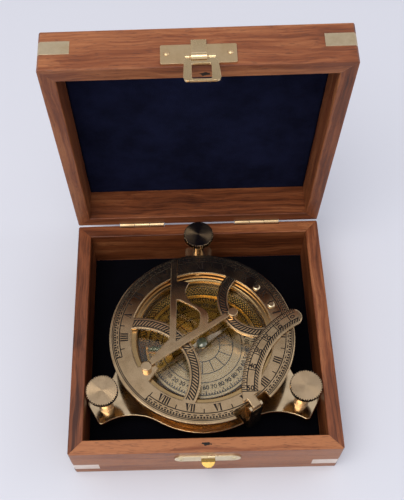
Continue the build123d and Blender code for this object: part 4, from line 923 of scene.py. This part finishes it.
def needle_cap():
    """Domed cap on the needle's hub, turned round its pin from a short cylinder."""
    foot = corners("needle")[1].z - CAP_FOOT
    room = corners("glass")[0].z - foot - CAP_CLEAR
    deselect()
    bpy.ops.mesh.primitive_cylinder_add(vertices=48, radius=CAP_R, depth=room * CAP_WALL,
                                        location=(0, 0, room * CAP_WALL / 2))
    piece = bpy.context.object
    bpy.ops.object.mode_set(mode="EDIT")
    bpy.ops.mesh.select_mode(type="FACE")
    for share, rise in CAP_RINGS:
        bpy.ops.mesh.select_all(action="DESELECT")
        bpy.ops.object.mode_set(mode="OBJECT")
        crown = max(piece.data.polygons, key=lambda face: face.center.z)
        crown.select = True
        bpy.ops.object.mode_set(mode="EDIT")
        bpy.ops.mesh.inset(thickness=CAP_R * share)
        bpy.ops.transform.translate(value=(0, 0, room * rise))
    bpy.ops.object.mode_set(mode="OBJECT")
    bpy.ops.object.modifier_add(type="SUBSURF")
    piece.modifiers[0].levels = 1
    piece.modifiers[0].render_levels = 1
    bpy.ops.object.modifier_apply(modifier=piece.modifiers[0].name)
    bpy.ops.object.shade_smooth()
    return settle(piece, Matrix.Translation((AXIS.x, AXIS.y, foot)), "needle_cap")


# Stage
FLOOR_SIZE = 8                       # m
FLOOR_DROP = 0.1 * MM                # under the case, so that the two faces don't share a place
# Rise, from the level behind the case, of the backdrop's top and of the overhead light
BACKDROP_TOP = (radians(52), radians(56))
LIGHT_EDGE = (radians(64.0), radians(64.8))
GAP_GLOW = 0.1                       # strength of the dark gap between them
SKY_RISE = (0.05, 0.8)               # height in the sky at which the light is low and full
# Softboxes: name, place and size in m, share of the key lamp's power, colour
LAMPS = (("key_softbox", (-0.32, -0.33, 1.14), 0.8, 1.0, "#fffaf4"),
         ("side_softbox", (0.9, 0.1, 0.7), 0.5, 0.16, "#f8f9ff"))
LAMP_AIM = Vector((0, 0.02, 0.05))   # about the case's middle
# Camera, fitted to the case's edges in the photo
IMAGE_W, IMAGE_H = 404, 500          # pixels of the picture
SENSOR = 36.0                        # mm on the picture's long side
CAMERA_FOCAL = 786.8                 # pixels
CAMERA_AXIS = (177.4, 279.1)         # pixel that the lens's axis goes through
CAMERA_PLACE = (-7.36, -198.89, 449.17)   # mm
CAMERA_TURN = (29.186, 1.393, -0.990)     # degrees
CAMERA_CLIP = (0.01, 50)             # m


def set_floor():
    """Wide pale sheet under the case."""
    deselect()
    bpy.ops.mesh.primitive_plane_add(size=FLOOR_SIZE, location=(0, 0, -FLOOR_DROP))
    floor = bpy.context.object
    floor.name = "floor"
    floor.data.materials.append(backdrop_paper())


def set_world():
    """Even light from overhead, the backdrop's own colour where it is seen or mirrored, and
    the dark gap over the backdrop that the middle of the polished ring mirrors."""
    stage = bpy.context.scene.compass_stage
    world = bpy.data.worlds.new("studio")
    bpy.context.scene.world = world
    world.use_nodes = True
    tree = world.node_tree
    tree.nodes.clear()
    path = add(tree, "LightPath")
    seen = add(tree, "Math", {0: path.outputs["Is Camera Ray"],
                              1: path.outputs["Is Glossy Ray"]}, operation="MAXIMUM")
    seen = add(tree, "Math", {0: seen, 1: path.outputs["Is Transmission Ray"]},
               operation="MAXIMUM")
    up = add(tree, "SeparateXYZ", {0: add(tree, "TexCoord").outputs["Generated"]})
    strength = add(tree, "MapRange", {"Value": up.outputs["Z"], "From Min": SKY_RISE[0],
                                      "From Max": SKY_RISE[1], "To Min": stage.horizon,
                                      "To Max": stage.sky})
    light = add(tree, "Background", {"Color": rgba(stage.sky_colour), "Strength": strength})
    rise = add(tree, "Math", {0: up.outputs["Z"], 1: up.outputs["Y"]}, operation="ARCTAN2")
    below = add(tree, "MapRange", {"Value": rise, "From Min": BACKDROP_TOP[0],
                                   "From Max": BACKDROP_TOP[1], "To Min": 1.0,
                                   "To Max": GAP_GLOW})
    above = add(tree, "MapRange", {"Value": rise, "From Min": LIGHT_EDGE[0],
                                   "From Max": LIGHT_EDGE[1]})
    mirrored = add(tree, "Math", {0: below, 1: above}, operation="MAXIMUM")
    mirrored = add(tree, "Math", {0: mirrored, 1: path.outputs["Is Camera Ray"]},
                   operation="MAXIMUM")
    backdrop = add(tree, "Background", {"Color": rgba(stage.floor), "Strength": mirrored})
    mixed = add(tree, "MixShader", {0: seen, 1: light, 2: backdrop})
    add(tree, "OutputWorld", {"Surface": mixed})


def set_lamps():
    """A large softbox high over the front and a weaker one on the right."""
    for name, place, size, share, glow in LAMPS:
        data = bpy.data.lights.new(name, "AREA")
        data.size = size
        data.energy = bpy.context.scene.compass_stage.key * share
        data.color = colour(glow)[:3]
        lamp = bpy.data.objects.new(name, data)
        bpy.context.scene.collection.objects.link(lamp)
        lamp.location = place
        lamp.rotation_mode = "QUATERNION"
        lamp.rotation_quaternion = (LAMP_AIM - Vector(place)).to_track_quat("-Z", "Y")


def set_camera():
    """Camera at the picture's viewpoint, its lens's axis off the picture's middle."""
    data = bpy.data.cameras.new("camera")
    camera = bpy.data.objects.new("camera", data)
    bpy.context.scene.collection.objects.link(camera)
    camera.location = [value * MM for value in CAMERA_PLACE]
    camera.rotation_euler = [radians(value) for value in CAMERA_TURN]
    data.sensor_width = SENSOR
    data.lens = CAMERA_FOCAL * SENSOR / IMAGE_H
    data.shift_x = (IMAGE_W / 2 - CAMERA_AXIS[0]) / IMAGE_H
    data.shift_y = (CAMERA_AXIS[1] - IMAGE_H / 2) / IMAGE_H
    data.clip_start, data.clip_end = CAMERA_CLIP
    bpy.context.scene.camera = camera


# Operators
# Turn of the grain, shift into the plank in m, and tone of each board. The tones are partly each
# board's own shade and partly painted light: the base's front wall is painted paler where light
# falls on it, its left and right walls darker as painted shade.
BOARDS = {
    "base": {
        # Painted light on the front wall, painted shade on the left and right walls
        "front_wall": (0.0, (0.033, 0.025, 0.041), 0.12),
        "back_wall": (0.0, (0.127, 0.061, 0.137), -0.02),
        "left_wall": (pi / 2, (0.071, 0.043, 0.019), -0.065),
        "right_wall": (pi / 2, (0.171, 0.143, 0.119), -0.015),
        "panel": (0.0, (0.271, 0.043, 0.219), 0.0)},
    "lid": {
        "front_wall": (0.0, (0.151, 0.117, 0.009), 0.04),
        "back_wall": (0.0, (0.351, 0.017, 0.109), -0.035),
        "left_wall": (pi / 2, (0.213, 0.087, 0.053), 0.02),
        "right_wall": (pi / 2, (0.413, 0.187, 0.153), 0.02),
        "panel": (0.0, (0.051, 0.317, 0.209), 0.0)}}
# Places of the splintered spots in m
CHIPS = {"base_front_wall": (0.0005, -0.069, 0.0336), "lid_front_wall": (0.0034, 0.064, 0.1746)}


class COMPASSBOX_OT_case(bpy.types.Operator):
    """Finish the walls and panels of base and lid in sheesham"""
    bl_idname = "compassbox.case"
    bl_label = "Case wood"

    def execute(self, context):
        for body, turn in (("base", 0.0), ("lid", -LID_TURN)):
            for part, (side, shift, tone) in BOARDS[body].items():
                board = f"{body}_{part}"
                paint(wood(f"sheesham_oiled_{board}", (turn, 0, side), shift, tone,
                           chip=CHIPS.get(board)), board)
        return {"FINISHED"}


class COMPASSBOX_OT_linings(bpy.types.Operator):
    """Lay velvet on the base's floor and in the lid"""
    bl_idname = "compassbox.linings"
    bl_label = "Velvet linings"

    def execute(self, context):
        case = context.scene.compass_case
        # The base's velvet colour is painted shade, darker than the lid's
        for body, place, pile_colour in (("base", Matrix.Identity(4), case.base_velvet),
                                         ("lid", LID_OPEN, case.lid_velvet)):
            piece, flat = velvet_sheet(f"{body}_velvet", f"{body}_lining", place)
            piece.data.materials.append(velvet(f"velvet_cut_pile_{body}", pile_colour))
            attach(piece, body)
            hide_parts(f"{body}_lining")
        return {"FINISHED"}


class COMPASSBOX_OT_fittings(bpy.types.Operator):
    """Finish hinges, corner straps, catch and hasp in rolled brass"""
    bl_idname = "compassbox.fittings"
    bl_label = "Case fittings"

    def execute(self, context):
        brass = context.scene.compass_brass
        paint(polished_brass("brass_rolled_fittings", brass.plate, rough=(0.34, 0.46)),
              "hasp_plate", "hasp_nails", "left_base_leaf", "right_base_leaf",
              "left_lid_leaf", "right_lid_leaf", "base_hinge_nails", "lid_hinge_nails")
        paint(polished_brass("brass_polished_hasp", brass.hasp, rough=(0.2, 0.32)),
              "hasp_strip", "hasp")
        paint(polished_brass("brass_rubbed_lid_straps", brass.lid_strap, rough=(0.34, 0.46)),
              "lid_corner_straps")
        # Painted highlight: the base's straps are painted pale for the front light on them
        paint(polished_brass("brass_base_straps_painted_highlight", brass.base_strap,
                             rough=(0.26, 0.36), tarnish=0.15), "base_corner_straps")
        # Painted highlight on the catch's face
        paint(rubbed_catch(), "catch_plate", "catch_nails")
        paint(polished_brass("brass_drawn_pins", brass.plate, rough=(0.2, 0.3)),
              "hasp_pin", "left_hinge_pin", "right_hinge_pin")
        return {"FINISHED"}


class COMPASSBOX_OT_instrument(bpy.types.Operator):
    """Finish the base casting, bowl, bezel and small brass parts"""
    bl_idname = "compassbox.instrument"
    bl_label = "Instrument brass"

    def execute(self, context):
        brass = context.scene.compass_brass
        paint(polished_brass("brass_cast_lobed_base", brass.casting, rough=(0.07, 0.16),
                             tarnish=0.25), "lobed_base")
        paint(turned_brass("brass_turned_bowl", brass.bowl, AXIS), "bowl", "needle_pivot")
        paint(turned_brass("brass_turned_bezel", brass.bezel, AXIS, rough=(0.14, 0.22)),
              "bezel")
        paint(engraved_cone(), "cone_ring")
        paint(polished_brass("brass_milled_small_parts", brass.small, rough=(0.16, 0.28),
                             tarnish=0.2), "ring_bracket", "arc_post", "arc_pin",
              "ring_hinge_pin", "ring_rivets")
        paint(polished_brass("brass_rolled_cradle", brass.tarnish), "level_cradle")
        return {"FINISHED"}


class COMPASSBOX_OT_hour_ring(bpy.types.Operator):
    """Etch the hour ring and set its Roman hours"""
    bl_idname = "compassbox.hour_ring"
    bl_label = "Hour ring"

    def execute(self, context):
        paint(engraved_ring(), "hour_ring")
        piece = hour_numerals()
        piece.data.materials.append(engraving_wax())
        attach(piece, "hour_ring")
        return {"FINISHED"}


class COMPASSBOX_OT_latitude_arc(bpy.types.Operator):
    """Etch the latitude arc and set its figures"""
    bl_idname = "compassbox.latitude_arc"
    bl_label = "Latitude arc"

    def execute(self, context):
        paint(engraved_arc(), "latitude_arc")
        piece = latitude_figures()
        piece.data.materials.append(engraving_wax())
        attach(piece, "latitude_arc")
        return {"FINISHED"}


class COMPASSBOX_OT_gnomon(bpy.types.Operator):
    """Finish the gnomon and its bosses"""
    bl_idname = "compassbox.gnomon"
    bl_label = "Gnomon"

    def execute(self, context):
        metal = context.scene.compass_brass.brass
        paint(polished_brass("brass_rolled_gnomon", metal, rough=(0.14, 0.24),
                             edge=0.7 * MM), "gnomon")
        paint(polished_brass("brass_turned_bosses", metal, rough=(0.12, 0.2)), "gnomon_bosses")
        return {"FINISHED"}


class COMPASSBOX_OT_dial(bpy.types.Operator):
    """Finish dial, needle, glass and level, and set the dial's figures and the needle's cap"""
    bl_idname = "compassbox.dial"
    bl_label = "Dial"

    def execute(self, context):
        paint(dial_print(), "dial_card")
        paint(needle_steel(), "needle")
        paint(window_glass(), "glass")
        paint(level_fluid(), "spirit_level")
        piece = dial_figures()
        piece.data.materials.append(engraving_wax())
        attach(piece, "instrument")
        cap = needle_cap()
        cap.data.materials.append(agate_cap())
        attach(cap, "needle")
        return {"FINISHED"}


class COMPASSBOX_OT_screws(bpy.types.Operator):
    """Finish the three levelling screws and their knobs"""
    bl_idname = "compassbox.screws"
    bl_label = "Levelling screws"

    def execute(self, context):
        brass = context.scene.compass_brass
        thread = polished_brass("brass_threaded_studs", brass.brass, rough=(0.2, 0.3))
        for where in SCREWS:
            knob = f"{where}_knob"
            centre = middle(knob)
            paint(turned_brass(f"brass_turned_{knob}", brass.knob, centre, rough=(0.18, 0.27),
                               knurl=reach(knob, centre) - KNURL_IN), knob)
            paint(thread, f"{where}_stud")
        return {"FINISHED"}


class COMPASSBOX_OT_stage(bpy.types.Operator):
    """Set the floor, the soft studio light and the camera"""
    bl_idname = "compassbox.stage"
    bl_label = "Stage"

    def execute(self, context):
        set_floor()
        set_world()
        set_lamps()
        set_camera()
        context.scene.view_settings.view_transform = "Standard"
        return {"FINISHED"}


class COMPASSBOX_PT_panel(bpy.types.Panel):
    """Lists the steps that dress the compass box"""
    bl_idname = "COMPASSBOX_PT_panel"
    bl_label = "Compass box"
    bl_space_type = "VIEW_3D"
    bl_region_type = "UI"
    bl_category = "Compass box"

    def draw(self, context):
        for step in STEPS:
            self.layout.operator(step.bl_idname)


STEPS = (COMPASSBOX_OT_case, COMPASSBOX_OT_linings, COMPASSBOX_OT_fittings,
         COMPASSBOX_OT_instrument, COMPASSBOX_OT_hour_ring, COMPASSBOX_OT_latitude_arc,
         COMPASSBOX_OT_gnomon, COMPASSBOX_OT_dial, COMPASSBOX_OT_screws, COMPASSBOX_OT_stage)
GROUPS = {"compass_case": CaseSettings, "compass_brass": BrassSettings,
          "compass_dial": DialSettings, "compass_scale": ScaleSettings,
          "compass_stage": StageSettings}


def register():
    for name, group in GROUPS.items():
        bpy.utils.register_class(group)
        setattr(bpy.types.Scene, name, PointerProperty(type=group))
    for step in (*STEPS, COMPASSBOX_PT_panel):
        bpy.utils.register_class(step)


def unregister():
    for step in reversed((*STEPS, COMPASSBOX_PT_panel)):
        bpy.utils.unregister_class(step)
    for name, group in GROUPS.items():
        delattr(bpy.types.Scene, name)
        bpy.utils.unregister_class(group)


def main():
    """Dress the case step by step."""
    register()
    bpy.ops.compassbox.case()
    bpy.ops.compassbox.linings()
    bpy.ops.compassbox.fittings()
    bpy.ops.compassbox.instrument()
    bpy.ops.compassbox.hour_ring()
    bpy.ops.compassbox.latitude_arc()
    bpy.ops.compassbox.gnomon()
    bpy.ops.compassbox.dial()
    bpy.ops.compassbox.screws()
    bpy.ops.compassbox.stage()


if __name__ == "__main__":
    main()
